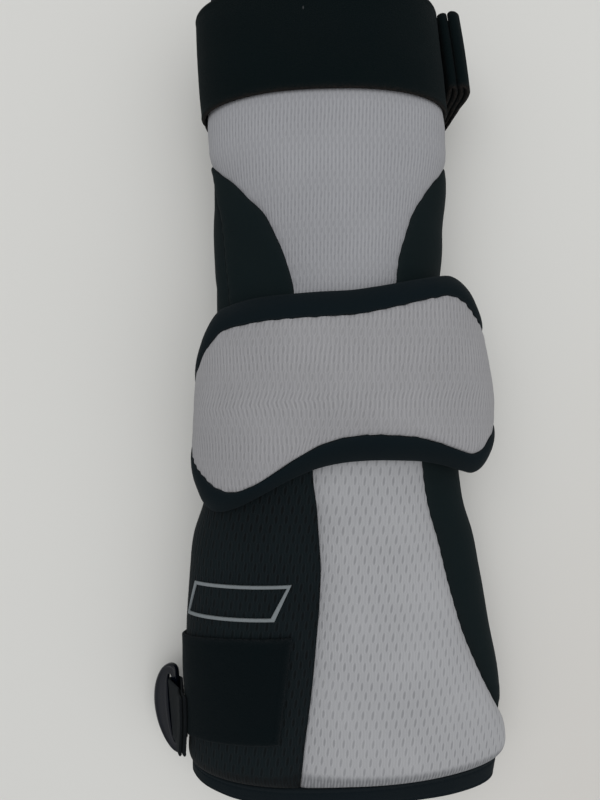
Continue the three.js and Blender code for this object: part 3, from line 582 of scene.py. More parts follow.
def clothMaterial(name, look):
    # smooth or napped dark fabric: grain, patches, lint, and paler fibres where an edge is cut or rubbed
    material, tree, shader = openMaterial(name, {
        "Sheen Weight": look["sheen"], "Sheen Roughness": 0.45, "Sheen Tint": look["sheenTint"],
        "Specular IOR Level": 0.08})
    place = addNode(tree, "ShaderNodeTexCoord", {}).outputs["Object"]
    grain = useGroup(tree, grainGroup, {"Place": place, "Fine": look["fine"], "Patch": look["patch"]}).outputs
    lint = useGroup(tree, lintGroup, {"Place": place, "Share": look["lint"]}).outputs
    fuzz = calc(tree, "MULTIPLY", fabricValue(tree, "edge"), grain["Grain"])
    color = blend(tree, grain["Patches"], look["color"], look["patchColor"])
    for value, tone, over in ((grain["Grain"], look["grainTone"], look["grainColor"]),
                              (fuzz, look["edgeTone"], look["edgeColor"]),
                              (lint["Specks"], lintSpecks["tone"], lintSpecks["color"])):
        color = blend(tree, calc(tree, "MULTIPLY", value, tone), color, over)
    tree.links.new(color, shader.inputs["Base Color"])
    smoothest, roughest = look["roughness"] - look["roughSpread"], look["roughness"] + look["roughSpread"]
    rough = ramp(tree, grain["Patches"], 0, 1, smoothest, roughest)
    tree.links.new(rough, shader.inputs["Roughness"])
    relief(tree, shader, look["relief"], look["depth"], grain["Grain"])
    return material


# A knit's roll colour is the painted shade where its foam rolls down at the cuff.
greyKnit = {"paintedRollShade": tint(92, 94, 97), "relief": 0.3, "sheen": 0.05, "specular": 0.12}
openKnit = {"Column Pitch": 0.0047, "Row Pitch": 0.0047, "Row Shift": 0.37, "Rib Pitch": 0.00157,
            "Sway": 0.0008}
greyLower = knitMaterial("lower_grey_mesh", {
    **greyKnit, "thread": tint(152, 153, 156), "threadPale": tint(158, 159, 162),
    "ribShade": tint(140, 141, 144), "lip": tint(167, 168, 171), "shade": tint(146, 147, 150),
    "slotColor": tint(118, 119, 122), "ribTone": 0.3, "lipTone": 0.4, "slotTone": 0.72,
    "knit": {**openKnit, "Slot Width": 0.00115, "Slot Length": 0.0047}})
greyUpper = knitMaterial("upper_grey_mesh", {
    **greyKnit, "thread": tint(147, 148, 152), "threadPale": tint(152, 153, 157),
    "ribShade": tint(122, 123, 127), "lip": tint(160, 161, 165), "shade": tint(141, 142, 146),
    "slotColor": tint(122, 123, 127), "ribTone": 0.6, "lipTone": 0.25, "slotTone": 0.36,
    "knit": {"Column Pitch": 0.0034, "Row Pitch": 0.0031, "Row Shift": 0.42, "Slot Width": 0.0009,
             "Slot Length": 0.0028, "Rib Pitch": 0.0017, "Sway": 0.0006}})
greyCap = knitMaterial("cap_grey_mesh", {
    **greyKnit, "thread": tint(141, 141, 144), "threadPale": tint(147, 147, 150),
    "ribShade": tint(119, 119, 122), "lip": tint(166, 166, 168), "shade": tint(143, 143, 145),
    "slotColor": tint(118, 118, 120), "ribTone": 0.5, "lipTone": 0.3, "slotTone": 0.42,
    "knit": {"Column Pitch": 0.0042, "Row Pitch": 0.0040, "Row Shift": 0.4, "Slot Width": 0.0010,
             "Slot Length": 0.0037, "Rib Pitch": 0.0021, "Sway": 0.0009}})
# its roll colour is painted shade at the cuff as well
blackMesh = knitMaterial("black_mesh", {
    "thread": tint(12, 20, 23), "threadPale": tint(15, 24, 27), "ribShade": tint(8, 15, 18),
    "lip": tint(27, 32, 35), "shade": tint(12, 16, 18), "slotColor": tint(7, 9, 10),
    "paintedRollShade": tint(8, 10, 12), "ribTone": 0.4, "lipTone": 0.5, "slotTone": 0.9, "relief": 0.5,
    "sheen": 0.02, "specular": 0.08,
    "knit": {**openKnit, "Slot Width": 0.0011, "Slot Length": 0.0046}})

plainCloth = {
    "color": tint(8, 18, 20), "patchColor": tint(11, 21, 23), "grainColor": tint(17, 27, 29),
    "edgeColor": tint(48, 51, 52), "grainTone": 0.3, "edgeTone": 0.3, "roughness": 0.85, "relief": 0.25,
    "fine": 2400.0, "patch": 24.0, "lint": 0.004, "sheen": 0.02, "sheenTint": tint(190, 205, 210),
    "depth": 0.0003, "roughSpread": 0.05,
}
napped = {**plainCloth, "roughness": 0.95, "lint": 0.008}
smoothBlack = clothMaterial("smooth_black_fabric", plainCloth)
stretchBlack = clothMaterial("stretch_fabric", {**plainCloth, "color": tint(7, 15, 17)})
hemNavy = clothMaterial("hem_fabric", {
    **plainCloth, "color": tint(5, 13, 18), "patchColor": tint(8, 16, 22)})
rimNavy = clothMaterial("cap_rim_fabric", {
    **plainCloth, "color": tint(4, 14, 18), "patchColor": tint(7, 17, 22), "grainColor": tint(14, 24, 29)})
elasticBlack = clothMaterial("elastic", {
    **napped, "color": tint(1, 9, 11), "patchColor": tint(3, 12, 14), "grainColor": tint(9, 17, 19),
    "edgeColor": tint(54, 46, 42), "edgeTone": 0.7, "fine": 1500.0, "relief": 0.5})
velourBlack = clothMaterial("velour", {
    **napped, "color": tint(1, 8, 11), "patchColor": tint(3, 11, 14), "grainColor": tint(8, 15, 18),
    "edgeColor": tint(38, 40, 42), "edgeTone": 0.6, "fine": 1300.0, "relief": 0.6})
webbingBlack = clothMaterial("webbing", {
    **plainCloth, "color": tint(12, 14, 17), "patchColor": tint(15, 17, 20), "fine": 1100.0, "relief": 0.7})
printGrey = clothMaterial("badge_print", {
    **plainCloth, "color": tint(108, 114, 117), "patchColor": tint(120, 126, 129),
    "grainColor": tint(92, 98, 101), "edgeTone": 0.0, "roughness": 0.55, "fine": 900.0, "lint": 0.0})


def plasticMaterial():
    # glossy moulded plastic with a little haze and fine scuffs
    material, tree, shader = openMaterial("ring_plastic", {
        "Specular IOR Level": 0.2, "Coat Weight": 0.05, "Coat Roughness": 0.12})
    place = addNode(tree, "ShaderNodeTexCoord", {}).outputs["Object"]
    grain = useGroup(tree, grainGroup, {"Place": place, "Fine": 700.0, "Patch": 90.0}).outputs
    color = blend(tree, grain["Patches"], tint(2, 6, 15), tint(5, 10, 20))
    tree.links.new(color, shader.inputs["Base Color"])
    rough = ramp(tree, grain["Patches"], 0, 1, toLow=0.16, toHigh=0.3)
    tree.links.new(rough, shader.inputs["Roughness"])
    relief(tree, shader, strength=0.08, depth=0.0002, height=grain["Grain"])
    return material


ringNavy = plasticMaterial()
print("materials made")

panelMaterials = {
    "upper_center_panel": greyUpper, "upper_right_panel": smoothBlack, "upper_left_panel": smoothBlack,
    "forearm_center_panel": greyLower, "forearm_right_panel": smoothBlack, "forearm_left_panel": blackMesh,
}

seamStep = 0.004


def seamInset(along, seam):
    # half the gap at a seam in degrees of turn, which is more where the seam runs aslant
    perLength = turnPerLength(along, seam(along))
    drift = (seam(along + seamStep) - seam(along - seamStep)) / perLength / (2 * seamStep * sleeve["length"])
    return sleeve["seamGap"] / 2 * perLength * np.hypot(1, drift)


def clothPlaces(points, along, turn, grainTurn):
    # the place of each point on the flat fabric: the length round the arm from a line that is straight along
    # it (to the right counts up), and the length along it
    sums = chordSums(points)
    atGrain = np.array([np.interp(grainTurn, turns, lengths) for turns, lengths in zip(turn, sums)])
    grainX = seamLevel(along[:, 0], np.full(len(along), float(grainTurn)))[0]
    return flatPlaces(grainX[:, None] - (sums - atGrain[:, None]), along * sleeve["length"])


# How the stitches pull a surface in beside a seam, in millimetres: the pull fades over its reach and comes
# and goes by the pitch, and a groove runs along the seam. The fabric looks worn a short way from an edge.
stitching = {"reach": 3.2, "pitch": 6.5, "groove": 0.45, "backGroove": 0.4, "grooveWidth": 1.3, "worn": 1.2}
swelling = {"height": 0.9, "middle": 333, "width": 6}      # of the foam below the strap that presses on it
# the painted shade where the foam rolls down at the cuff
cuffShade = {"full": 5.0, "gone": 9.5}      # by the distance from the cuff's hem


def stripAcross(along, start, end, columns):
    # across a strip of the sleeve: places from -1 to 1, their turns, their lengths from the middle, and their
    # ways to the nearer seam
    share = denseEnds(columns)[None, :]
    half = (end - start) / turnPerLength(along, (start + end) / 2) / 2
    return share, start + (end - start) * (1 + share) / 2, share * half, (1 - np.abs(share)) * half


def makePanel(name, panel):
    gap = sleeve["seamGap"] / 2 / sleeve["length"]
    along = np.linspace(panel["from"] + gap, panel["to"] - gap, panel["rows"])[:, None]
    start = panel["start"](along) + seamInset(along, panel["start"])
    end = panel["end"](along) - seamInset(along, panel["end"])
    share, turn, across, fromSeam = stripAcross(along, start, end, panel["columns"])
    away = along * sleeve["length"]
    calm = 1 - share**4
    lift = foamLift(panel, along, turn)
    lift += panel["puff"] * calm * unevenness(across, away, panel["puffSize"], panel["seed"])
    pull = np.exp(-fromSeam / stitching["reach"]) * (1 + np.cos(away * 2 * np.pi / stitching["pitch"]))
    lift -= panel["pucker"] * pull + stitching["groove"] * bump(fromSeam, stitching["grooveWidth"])
    if panel["to"] == sleeve["topEdge"]:
        lift += swelling["height"] * calm * bump(away - swelling["middle"], swelling["width"])
    outer = sleevePoint(along, turn, lift)
    inner = sleevePoint(along, turn, -sleeve["wall"])
    cloth = clothPlaces(outer, along, turn, panel["grainTurn"])
    # painted shade where the foam rolls down at the cuff: full near the hem, gone further up
    paintedCuffShade = 1 - smooth(away - sleeve["cuffEdge"] * sleeve["length"], cuffShade["full"], cuffShade["gone"])
    piece = twoSidedPiece(name.replace("panel", "cover"), outer, inner, cloth,
                          np.exp(-fromSeam / stitching["worn"]), shade=paintedCuffShade)
    dress(piece, name, panelMaterials[name])
    return piece


for name, panel in panels.items():
    makePanel(name, panel)
print("padded panels made")

back = {"rows": 240, "columns": 150, "crease": 0.5, "creaseSize": 26, "seed": 23}


def makeBack():
    # from the left side seams round under the arm to the right side seams, with flat creases that only go
    # inwards
    gap = sleeve["seamGap"] / sleeve["length"]
    along = np.linspace(sleeve["cuffEdge"] + gap, sleeve["topEdge"] - gap, back["rows"])[:, None]
    onForearm = along < sleeve["elbow"]
    start, end = (np.where(onForearm, follow(forearmSeams, side, along), follow(upperSeams, side, along))
                  for side in ("leftBack", "rightBack"))
    share, turn, across, fromSeam = stripAcross(along, start, end + 360, back["columns"])
    away = along * sleeve["length"]
    crease = np.clip(unevenness(across, away, back["creaseSize"], back["seed"]), 0, 1)
    groove = stitching["backGroove"] * bump(fromSeam, stitching["grooveWidth"])
    outer = sleevePoint(along, turn, -back["crease"] * crease**2 * (1 - share**6) - groove)
    inner = sleevePoint(along, turn, -sleeve["wall"])
    piece = twoSidedPiece("back_cover", outer, inner, flatPlaces(across, away),
                          np.exp(-fromSeam / stitching["worn"]))
    return dress(piece, "sleeve_back", stretchBlack)


hem = {
    "rows": 420, "columns": 30, "edgeRound": 0.9, "crown": 0.25, "groove": 0.42, "grooveWidth": 0.55,
    "dimple": 0.4, "dimpleWay": 2.4, "uneven": 0.12, "unevenSize": 16, "seed": 31, "perTurn": 0.9,
    "flatPerTurn": 1.05, "worn": 0.8, "topStitches": (392.2, 403.6), "cuffStitches": (1.8, 8.2),
}


def makeHem(name, node, low, high, stitchLines):
    # a turned hem round the sleeve: a rounded profile carried round, puffed between its stitch lines
    turn = np.linspace(0, 360, hem["rows"], endpoint=False)[:, None]
    across = (low + high) / 2 + (high - low) / 2 * denseEnds(hem["columns"])
    toEdge = np.minimum(across - low, high - across)
    shape = roundOff(toEdge, hem["edgeRound"])
    groove = hem["groove"] * sum(bump(across - line, hem["grooveWidth"]) for line in stitchLines)
    dimple = 1 - hem["dimple"] + hem["dimple"] * np.cos(turn * hem["dimpleWay"])
    middle, half = (sleeve["hemLift"] - sleeve["wall"]) / 2, (sleeve["hemLift"] + sleeve["wall"]) / 2
    waver = hem["uneven"] * unevenness(turn * hem["perTurn"], across, hem["unevenSize"], hem["seed"])
    outside = middle + (half + hem["crown"]) * shape - groove * dimple + waver
    along = np.broadcast_to(across / sleeve["length"], outside.shape)
    outer = sleevePoint(along, turn, outside)
    inner = sleevePoint(along, turn, middle - half * shape)
    piece = twoSidedPiece(name, outer, inner, flatPlaces(turn * hem["flatPerTurn"], across),
                          np.exp(-toEdge / hem["worn"]), ends="ring")
    return dress(piece, node, hemNavy)


padLength = sleeve["length"]
topHem = makeHem("top_hem_band", "top_hem", sleeve["topEdge"] * padLength + sleeve["seamGap"], padLength,
                 hem["topStitches"])
bottomHem = makeHem("cuff_hem_band", "bottom_hem", 0, sleeve["cuffEdge"] * padLength - sleeve["seamGap"],
                    hem["cuffStitches"])
backCover = makeBack()
print("back and hems made")

cap = {
    "place": 3.5, "turn": 86.5, "halfSpan": 112, "upperReach": 51.5, "lowerReach": 51.5, "endShift": 10.5,
    "seat": 1.5, "foam": 13, "seamShare": 0.86, "edge": 3, "rimWidth": 12, "rimNarrowing": 0.4,
    "seamGap": 0.15, "standOff": 5.5, "leftThinning": 0.26, "squareness": 6, "sideFoam": 4.4, "topFoam": 6,
    "along": [-1, -0.8, -0.7, -0.6, -0.5, -0.4, -0.3, -0.2, -0.1, 0, 0.1, 0.2, 0.3, 0.4, 0.5, 0.6, 0.7, 0.8,
              1],
    "upper": [0.6, 0.75, 0.86, 0.94, 0.95, 0.955, 0.95, 0.94, 0.93, 0.92, 0.93, 0.95, 0.975, 1, 1.01, 0.95,
              0.83, 0.74, 0.6],
    "lower": [0.6, 0.77, 0.86, 0.96, 1.01, 0.97, 0.86, 0.735, 0.64, 0.6, 0.6, 0.625, 0.665, 0.735, 0.825,
              0.89, 0.83, 0.75, 0.6],
}
# The finish of the cap's face and of its rim: rows of points, unevenness, the stitches' pull and wear. Frays
# are sizes of waves with their seeds.
face = {
    "rows": 104, "columns": 170, "perTurn": 1.1, "halfWidth": 44, "puff": 0.45, "puffSize": 38, "seed": 41,
    "pucker": 0.3, "pullReach": 3, "ripplePitch": 7.5, "rippleLean": 0.7, "groove": 0.5, "grooveWidth": 1.4,
    "underside": 0.1, "worn": 1.2, "least": 1e-4,
}
rim = {
    "rows": 720, "rowLength": 0.5, "slopeColumns": 22, "foldColumns": 6, "underColumns": 8, "frayed": 0.28,
    "frays": ((4, 43), (1.9, 44)), "slope": 0.8, "swell": 0.7, "uneven": 0.2, "unevenSize": 17, "seed": 45,
    "slopeLength": 10, "groove": 0.5, "grooveWidth": 1.1, "fold": 0.5, "worn": 0.7, "foldWorn": 0.6,
}


def capSpot(side, rise, share, inset):
    # A spot by its way out, a point of the outline's superellipse, and its share of that way; inset in
    # millimetres. The rim, which is what lies beyond the face, narrows towards the left and right ends.
    beyond = (cap["rimWidth"] - inset) * (1 - cap["rimNarrowing"] * side**2)
    endTurn = cap["halfSpan"] - (cap["rimWidth"] - beyond) * turnPerLength(sleeve["elbow"], 0)
    reach = np.where(rise >= 0, follow(cap, "upper", side) * cap["upperReach"],
                     follow(cap, "lower", side) * cap["lowerReach"]) - cap["rimWidth"] + beyond
    middle = sleeve["elbow"] * sleeve["length"] - cap["place"] + cap["endShift"] * side * share
    return cap["turn"] - side * share * endTurn, (middle + rise * reach * share) / sleeve["length"]


def capPoint(side, rise, share, inset, thickness):
    # the cap's underside clears the foam that it lies on, and its right end stands off the sleeve
    turn, along = capSpot(side, rise, share, inset)
    facing = np.maximum(0, np.sin(np.radians(turn)))
    right = np.maximum(0, np.cos(np.radians(turn)))
    left = np.maximum(0, -np.cos(np.radians(turn)))
    foam = cap["sideFoam"] + (cap["topFoam"] - cap["sideFoam"]) * facing
    floor = cap["seat"] + foam * elbowShare(along) + cap["standOff"] * right * right
    return sleevePoint(along, turn, floor + thickness * (1 - cap["leftThinning"] * left * left))


def makeCapFace():
    # a square grid laid over a superellipse: each side of the square is bent to the outline between its
    # corners
    power = cap["squareness"]
    a, b = np.meshgrid(denseEnds(face["columns"]), denseEnds(face["rows"]))
    x, y = a * (1 - b**power / 2) ** (1 / power), b * (1 - a**power / 2) ** (1 / power)
    share = np.maximum((np.abs(x) ** power + np.abs(y) ** power) ** (1 / power), face["least"])
    side, rise = x / share, y / share
    inset = cap["rimWidth"] + cap["seamGap"] / 2
    turn, along = capSpot(side, rise, share, inset)
    u, v = turn * face["perTurn"], along * padLength
    fromSeam = (1 - share) * face["halfWidth"]
    ripple = 1 + np.cos((u + v * face["rippleLean"]) * 2 * np.pi / face["ripplePitch"])
    thickness = cap["foam"] * (1 - (1 - cap["seamShare"]) * share**4)
    thickness += face["puff"] * (1 - share**6) * unevenness(u, v, face["puffSize"], face["seed"])
    thickness -= face["pucker"] * np.exp(-fromSeam / face["pullReach"]) * ripple
    thickness -= face["groove"] * bump(fromSeam, face["grooveWidth"])
    top = capPoint(side, rise, share, inset, thickness)
    bottom = capPoint(side, rise, share, inset, face["underside"] * share)
    sums = chordSums(top)
    cloth = flatPlaces(sums - sums[:, sums.shape[1] // 2][:, None], v)
    piece = twoSidedPiece("elbow_cap_cover", top, bottom, cloth, np.exp(-fromSeam / face["worn"]))
    dress(piece, "elbow_cap_face", greyCap)
    return piece


def makeCapRim():
    # the dark band round the face: a slope from the seam down to the outer edge, a fold and the underside,
    # carried round the outline
    way = np.radians(np.linspace(0, 360, rim["rows"], endpoint=False))[:, None]
    power = cap["squareness"]
    push = (np.abs(np.cos(way)) ** power + np.abs(np.sin(way)) ** power) ** (-1 / power)
    side, rise = np.cos(way) * push, np.sin(way) * push
    inner = cap["rimWidth"] - cap["seamGap"] / 2
    away = np.arange(rim["rows"])[:, None] * rim["rowLength"]
    level = 0 * away
    frayed = rim["frayed"] * sum(unevenness(away, level, size, seed) for size, seed in rim["frays"])
    step = np.linspace(0, 1, rim["slopeColumns"])[None, :]
    fold = np.linspace(0, 1, rim["foldColumns"])[None, 1:]
    under = np.linspace(0, 1, rim["underColumns"])[None, 1:]
    drop = cap["foam"] * cap["seamShare"] - cap["edge"]
    waver = unevenness(away, step * rim["slopeLength"], rim["unevenSize"], rim["seed"])
    slope = cap["edge"] + drop * np.cos(step * np.pi / 2) ** rim["slope"]
    slope = slope + rim["swell"] * np.sin(np.pi * step) + rim["uneven"] * waver
    slope -= rim["groove"] * bump(step * inner, rim["grooveWidth"])
    height = np.concatenate([slope, level + cap["edge"] * (1 - fold), level + 0 * under], axis=1)
    inset = np.concatenate([inner * (1 - step) + frayed * (1 - step) ** 6,
                            level - rim["fold"] * np.sin(np.pi * fold), level + inner * under], axis=1)
    loops = capPoint(side, rise, np.ones_like(inset), inset, height)
    edge = np.concatenate([level + np.exp(-step * inner / rim["worn"]), level + 0 * fold + rim["foldWorn"],
                           level + 0 * under], axis=1)
    piece = loftPiece("elbow_cap_binding", loops, flatPlaces(away, inset), edge, ends="ring")
    dress(piece, "elbow_cap_rim", rimNavy)
    return piece


makeCapFace()
makeCapRim()
print("elbow cap made")

# The upper strap stands loose round one turn, over a reach of turns to both sides.
upperStrap = {
    "edge": 389.55, "width": 50, "slack": 4.4, "lowSlack": 0.15, "sag": 1.6, "looseTurn": 172,
    "looseReach": 62, "rows": 460, "columns": 46, "edgeRound": 0.8, "bead": 0.22, "beadPlace": 1.6,
    "beadWidth": 0.8, "uneven": 0.16, "unevenSize": 30, "seed": 51, "calmReach": 4, "perTurn": 0.9,
    "flatPerTurn": 1.02, "worn": 0.7,
}

# The upper strap's spare end, folded to and fro in layers, each a course of rows. Thick is its whole
# thickness as a share of the thickness at its widest place, by turn.
strapEnd = {
    "width": 48, "thickness": 12, "layerShare": 0.84, "start": -44, "turnBack": -11, "tip": 12.5, "rise": 7.2,
    "riseFrom": -24, "riseTo": 16, "taper": 0.22, "courseRows": (54, 26, 26, 60), "bendRows": 11,
    "columns": 40, "gap": 0.3, "layerLimit": 2.4, "edgeRound": 0.7, "uneven": 0.3, "unevenSize": 9,
    "seed": 57, "unevenReach": 1.5, "worn": 1.0,
    "along": [-44, -24, -12, -2, 6, 12, 16],
    "thick": [0.3, 0.34, 0.56, 0.84, 1, 0.86, 0.45],
}
layerCount = len(strapEnd["courseRows"])

# Along holds turns, and drop the drop towards the cuff as a share of the width.
forearmStrap = {
    "place": 61, "width": 52, "cut": 3,
    "along": [98.5, 130, 180, 270, 342],
    "drop": [0, 0.04, 0.155, 0.27, 0.3],
    "rows": 330, "columns": 48, "level": 0.13, "frontLead": 0.25, "edgeRound": 0.8, "nap": 0.12,
    "napSize": 22, "seed": 61, "calmReach": 3, "stitch": 0.22, "stitchPlace": 3.2, "stitchWidth": 0.5,
    "stitchEnd": 3, "perTurn": 0.9, "flatPerTurn": 1.1, "worn": 0.8,
}


def upperStrapPoint(place, turn, lift):
    # a point over the upper strap, by place across it. It stands loose at the left side, and has slipped
    # there.
    loose = np.maximum(0, 1 - ((turn - upperStrap["looseTurn"]) / upperStrap["looseReach"]) ** 2) ** 2
    away = upperStrap["edge"] - upperStrap["width"] / 2 + place
    towardsTop = 0.5 + place / upperStrap["width"]
    low = upperStrap["lowSlack"]
    slack = upperStrap["slack"] * loose * (low + (1 - low) * towardsTop)
    along = away / padLength + 0 * turn
    points = sleevePoint(along, turn, outerLift(along, turn) + sleeve["layerGap"] + slack + lift)
    points[..., 1] -= upperStrap["sag"] * loose / 1000
    return points


def makeUpperStrap():
    turn = np.linspace(-90, 270, upperStrap["rows"], endpoint=False)[:, None]
    place = denseEnds(upperStrap["columns"])[None, :] * upperStrap["width"] / 2
    toEdge = upperStrap["width"] / 2 - np.abs(place)
    middle = sleeve["strapThickness"] / 2
    half = middle * roundOff(toEdge, upperStrap["edgeRound"])
    bead = upperStrap["bead"] * bump(toEdge - upperStrap["beadPlace"], upperStrap["beadWidth"])
    waver = upperStrap["uneven"] * (1 - np.exp(-toEdge / upperStrap["calmReach"])) * unevenness(
        turn * upperStrap["perTurn"], place, upperStrap["unevenSize"], upperStrap["seed"])
    piece = twoSidedPiece("upper_strap_band", upperStrapPoint(place, turn, middle + half + bead + waver),
                          upperStrapPoint(place, turn, middle - half),
                          flatPlaces(turn * upperStrap["flatPerTurn"], place),
                          np.exp(-toEdge / upperStrap["worn"]), ends="ring")
    dress(piece, "upper_strap", elasticBlack)
    return piece


def bandFaces(middle, thickness):
    # both faces of a band round its middle surface, which is rows of points across the band
    normal = np.cross(np.gradient(middle, axis=0), np.gradient(middle, axis=1))
    normal /= np.linalg.norm(normal, axis=2, keepdims=True)
    half = normal * thickness[..., None] / 2000
    return middle - half, middle + half


def strapEndDepth(turn):
    return strapEnd["thickness"] * follow(strapEnd, "thick", turn)


def strapEndRows(turns, layer):
    # rows of points across the band in one of its layers, counted from 0 at the strap
    place = denseEnds(strapEnd["columns"])[None, :] * strapEnd["width"] / 2
    turn = turns[:, None]
    depth = strapEndDepth(turn) * (2 * layer + 1) / (2 * layerCount)
    points = upperStrapPoint(place, turn, sleeve["strapThickness"] + strapEnd["gap"] + depth)
    bend = smooth(turn, strapEnd["riseFrom"], strapEnd["riseTo"])
    points[..., 1] += bend * (strapEnd["rise"] - place * strapEnd["taper"]) / 1000
    return points


def bendRows(before, after):
    # a half turn from the end of one layer to the start of the next, outwards from both
    low, high = before[-1], after[0]
    ahead = before[-1] - before[-2]
    ahead /= np.linalg.norm(ahead, axis=1, keepdims=True)
    radius = np.linalg.norm(high - low, axis=1, keepdims=True) / 2
    way = np.radians(np.linspace(0, 180, strapEnd["bendRows"]))[1:-1, None, None]
    return (low + high) / 2 + (low - high) / 2 * np.cos(way) + ahead * radius * np.sin(way)


def makeUpperStrapEnd():
    # one strip: out to its tip, back, out again, and all the way back over the outside
    start, back, tip = strapEnd["start"], strapEnd["turnBack"], strapEnd["tip"]
    stops = [(start, tip), (tip, back), (back, tip), (tip, start)]
    courses = [np.linspace(*ends, rows) for ends, rows in zip(stops, strapEnd["courseRows"])]
    layers = [strapEndRows(course, layer) for layer, course in enumerate(courses)]
    parts, turns = [layers[0]], [courses[0]]
    for before, after, course in zip(layers, layers[1:], courses[1:]):
        bend = bendRows(before, after)
        parts += [bend, after]
        turns += [np.full(len(bend), course[0]), course]
    path = np.concatenate(parts)
    place = denseEnds(strapEnd["columns"])[None, :] * strapEnd["width"] / 2
    toEdge = strapEnd["width"] / 2 - np.abs(place)
    count = np.arange(len(path))[:, None]
    waver = unevenness(count, place, strapEnd["unevenSize"], strapEnd["seed"])
    nearEdge = np.exp(-toEdge / strapEnd["unevenReach"]) * np.sign(place)
    path[..., 1] += strapEnd["uneven"] * waver * nearEdge / 1000
    pitch = strapEndDepth(np.concatenate(turns))[:, None] / layerCount
    thickness = np.minimum(pitch * strapEnd["layerShare"], strapEnd["layerLimit"]) * roundOff(
        toEdge, strapEnd["edgeRound"])
    piece = twoSidedPiece("upper_strap_tail", *bandFaces(path, thickness), flatPlaces(count, place),
                          np.exp(-toEdge / strapEnd["worn"]))
    dress(piece, "upper_strap_end", elasticBlack)
    return piece


def forearmStrapPoint(turn, share, lift):
    drop = follow(forearmStrap, "drop", turn)
    along = (forearmStrap["place"] + (share - drop) * forearmStrap["width"]) / padLength
    return sleevePoint(along, turn, outerLift(along, turn) + sleeve["layerGap"] + lift)


def makeForearmStrap():
    # from its front end round the left side and the back to the right side seam
    way = (1 + denseEnds(forearmStrap["rows"])[:, None]) / 2
    share = denseEnds(forearmStrap["columns"])[None, :] / 2
    front = forearmStrap["along"][0] + (0.5 - share) * forearmStrap["cut"]
    turn = front + (forearmStrap["along"][-1] - front) * way
    toSide = (0.5 - np.abs(share)) * forearmStrap["width"] + 0 * way
    toFront = (turn - front) / turnPerLength(forearmStrap["level"], turn)
    toEdge = np.minimum(toSide, toFront + forearmStrap["frontLead"])
    middle = sleeve["strapThickness"] / 2
    half = middle * roundOff(toEdge, forearmStrap["edgeRound"])
    nap = forearmStrap["nap"] * (1 - np.exp(-toEdge / forearmStrap["calmReach"])) * unevenness(
        turn * forearmStrap["perTurn"], share * forearmStrap["width"], forearmStrap["napSize"],
        forearmStrap["seed"])
    stitched = bump(toFront - forearmStrap["stitchPlace"], forearmStrap["stitchWidth"])
    lift = middle + half + nap - forearmStrap["stitch"] * stitched * (toSide > forearmStrap["stitchEnd"])
    flat = flatPlaces(turn * forearmStrap["flatPerTurn"], share * forearmStrap["width"])
    piece = twoSidedPiece("forearm_strap_band", forearmStrapPoint(turn, share, lift),
                          forearmStrapPoint(turn, share, middle - half), flat,
                          np.exp(-toEdge / forearmStrap["worn"]))
    dress(piece, "forearm_strap", velourBlack)
    return piece


makeUpperStrap()
makeUpperStrapEnd()
makeForearmStrap()
print("straps made")

# The ring's profile is a flat bar with a raised lip at its outer edge and a lower one at the hole. Where they
# end is given by shares of the way to the hole.
ring = {
    "length": 48, "depth": 18.5, "thickness": 3.4, "bow": 10.5, "bar": 4.2, "end": 5.5, "corner": 4,
    "place": 34, "roundness": 0.56, "holeRoundness": 0.7, "level": 20, "slope": 30, "twist": 5,
    "bowHeight": 0.55, "curveRows": 40, "profileRows": 44, "acrossPower": 0.55, "heightPower": 0.5,
    "lipInside": (0.16, 0.3), "lipDrop": 0.34, "holeEdge": (0.78, 0.9), "holeRise": 0.16,
}
# Down and up are turns, and bend angles: the first, the last and the number of rows.
keeper = {
    "width": 32, "thickness": 1.4, "columns": 34, "down": (158, 172, 16), "up": (172, 160, 14),
    "bend": (-10, -190, 26), "weave": 0.1, "weavePitch": 2.1, "weaveTurn": 1.4, "calmEdge": 0.8,
    "edgeRound": 0.5, "worn": 0.8,
}
keeperBend = ring["bar"] / 2 + sleeve["layerGap"] + keeper["thickness"] / 2
twistDrift = math.tan(math.radians(ring["twist"]))


def keeperSeat(turn, shift, layer):
    # a point of the keeper in metres, on the forearm strap, its first or second layer up
    drop = follow(forearmStrap, "drop", turn)
    share = (ring["place"] + shift - forearmStrap["place"]) / forearmStrap["width"] + drop
    lift = sleeve["strapThickness"] + sleeve["layerGap"] + keeper["thickness"] / 2
    return forearmStrapPoint(turn, share, lift + layer * (sleeve["layerGap"] + keeper["thickness"]))


barSeat = keeperSeat(np.array(180.0), np.array(-keeper["width"] / 2), 0)
barMiddle = np.array([barSeat[0] * 1000 - keeperBend - twistDrift * keeper["width"] / 2, ring["level"]])


def makeKeeper():
    # down the strap's side, round under the straight bar, and up again outside itself
    shift = denseEnds(keeper["columns"])[None, :] * keeper["width"] / 2
    down, up = np.linspace(*keeper["down"])[:, None], np.linspace(*keeper["up"])[:, None]
    bend = np.radians(np.linspace(*keeper["bend"]))[:, None]
    x = barMiddle[0] + keeperBend * np.cos(bend) - twistDrift * shift
    z = barMiddle[1] + keeperBend * np.sin(bend) + 0 * shift
    y = ring["place"] + shift + 0 * bend - padLength / 2
    path = np.concatenate([keeperSeat(down, shift + 0 * down, 0), np.stack([x, y, z], -1) / 1000,
                           keeperSeat(up, shift + 0 * up, 1)])
    toEdge = keeper["width"] / 2 - np.abs(shift)
    rows = np.arange(len(path))[:, None]
    weave = np.cos(shift * 2 * np.pi / keeper["weavePitch"]) * np.cos(rows * keeper["weaveTurn"])
    thickness = keeper["thickness"] * roundOff(toEdge, keeper["edgeRound"])
    thickness = thickness + keeper["weave"] * weave * (toEdge > keeper["calmEdge"])
    piece = twoSidedPiece("ring_keeper_band", *bandFaces(path, thickness), flatPlaces(rows, shift),
                          np.exp(-toEdge / keeper["worn"]))
    dress(piece, "ring_keeper", webbingBlack)
    return piece


def bezier(points, t):
    # a curve by its end and control points, as sums of falling and rising powers
    order = len(points) - 1
    weights = [math.comb(order, i) * (1 - t) ** (order - i) * t**i for i in range(order + 1)]
    return sum(w[:, None] * np.array(point, float) for w, point in zip(weights, points))


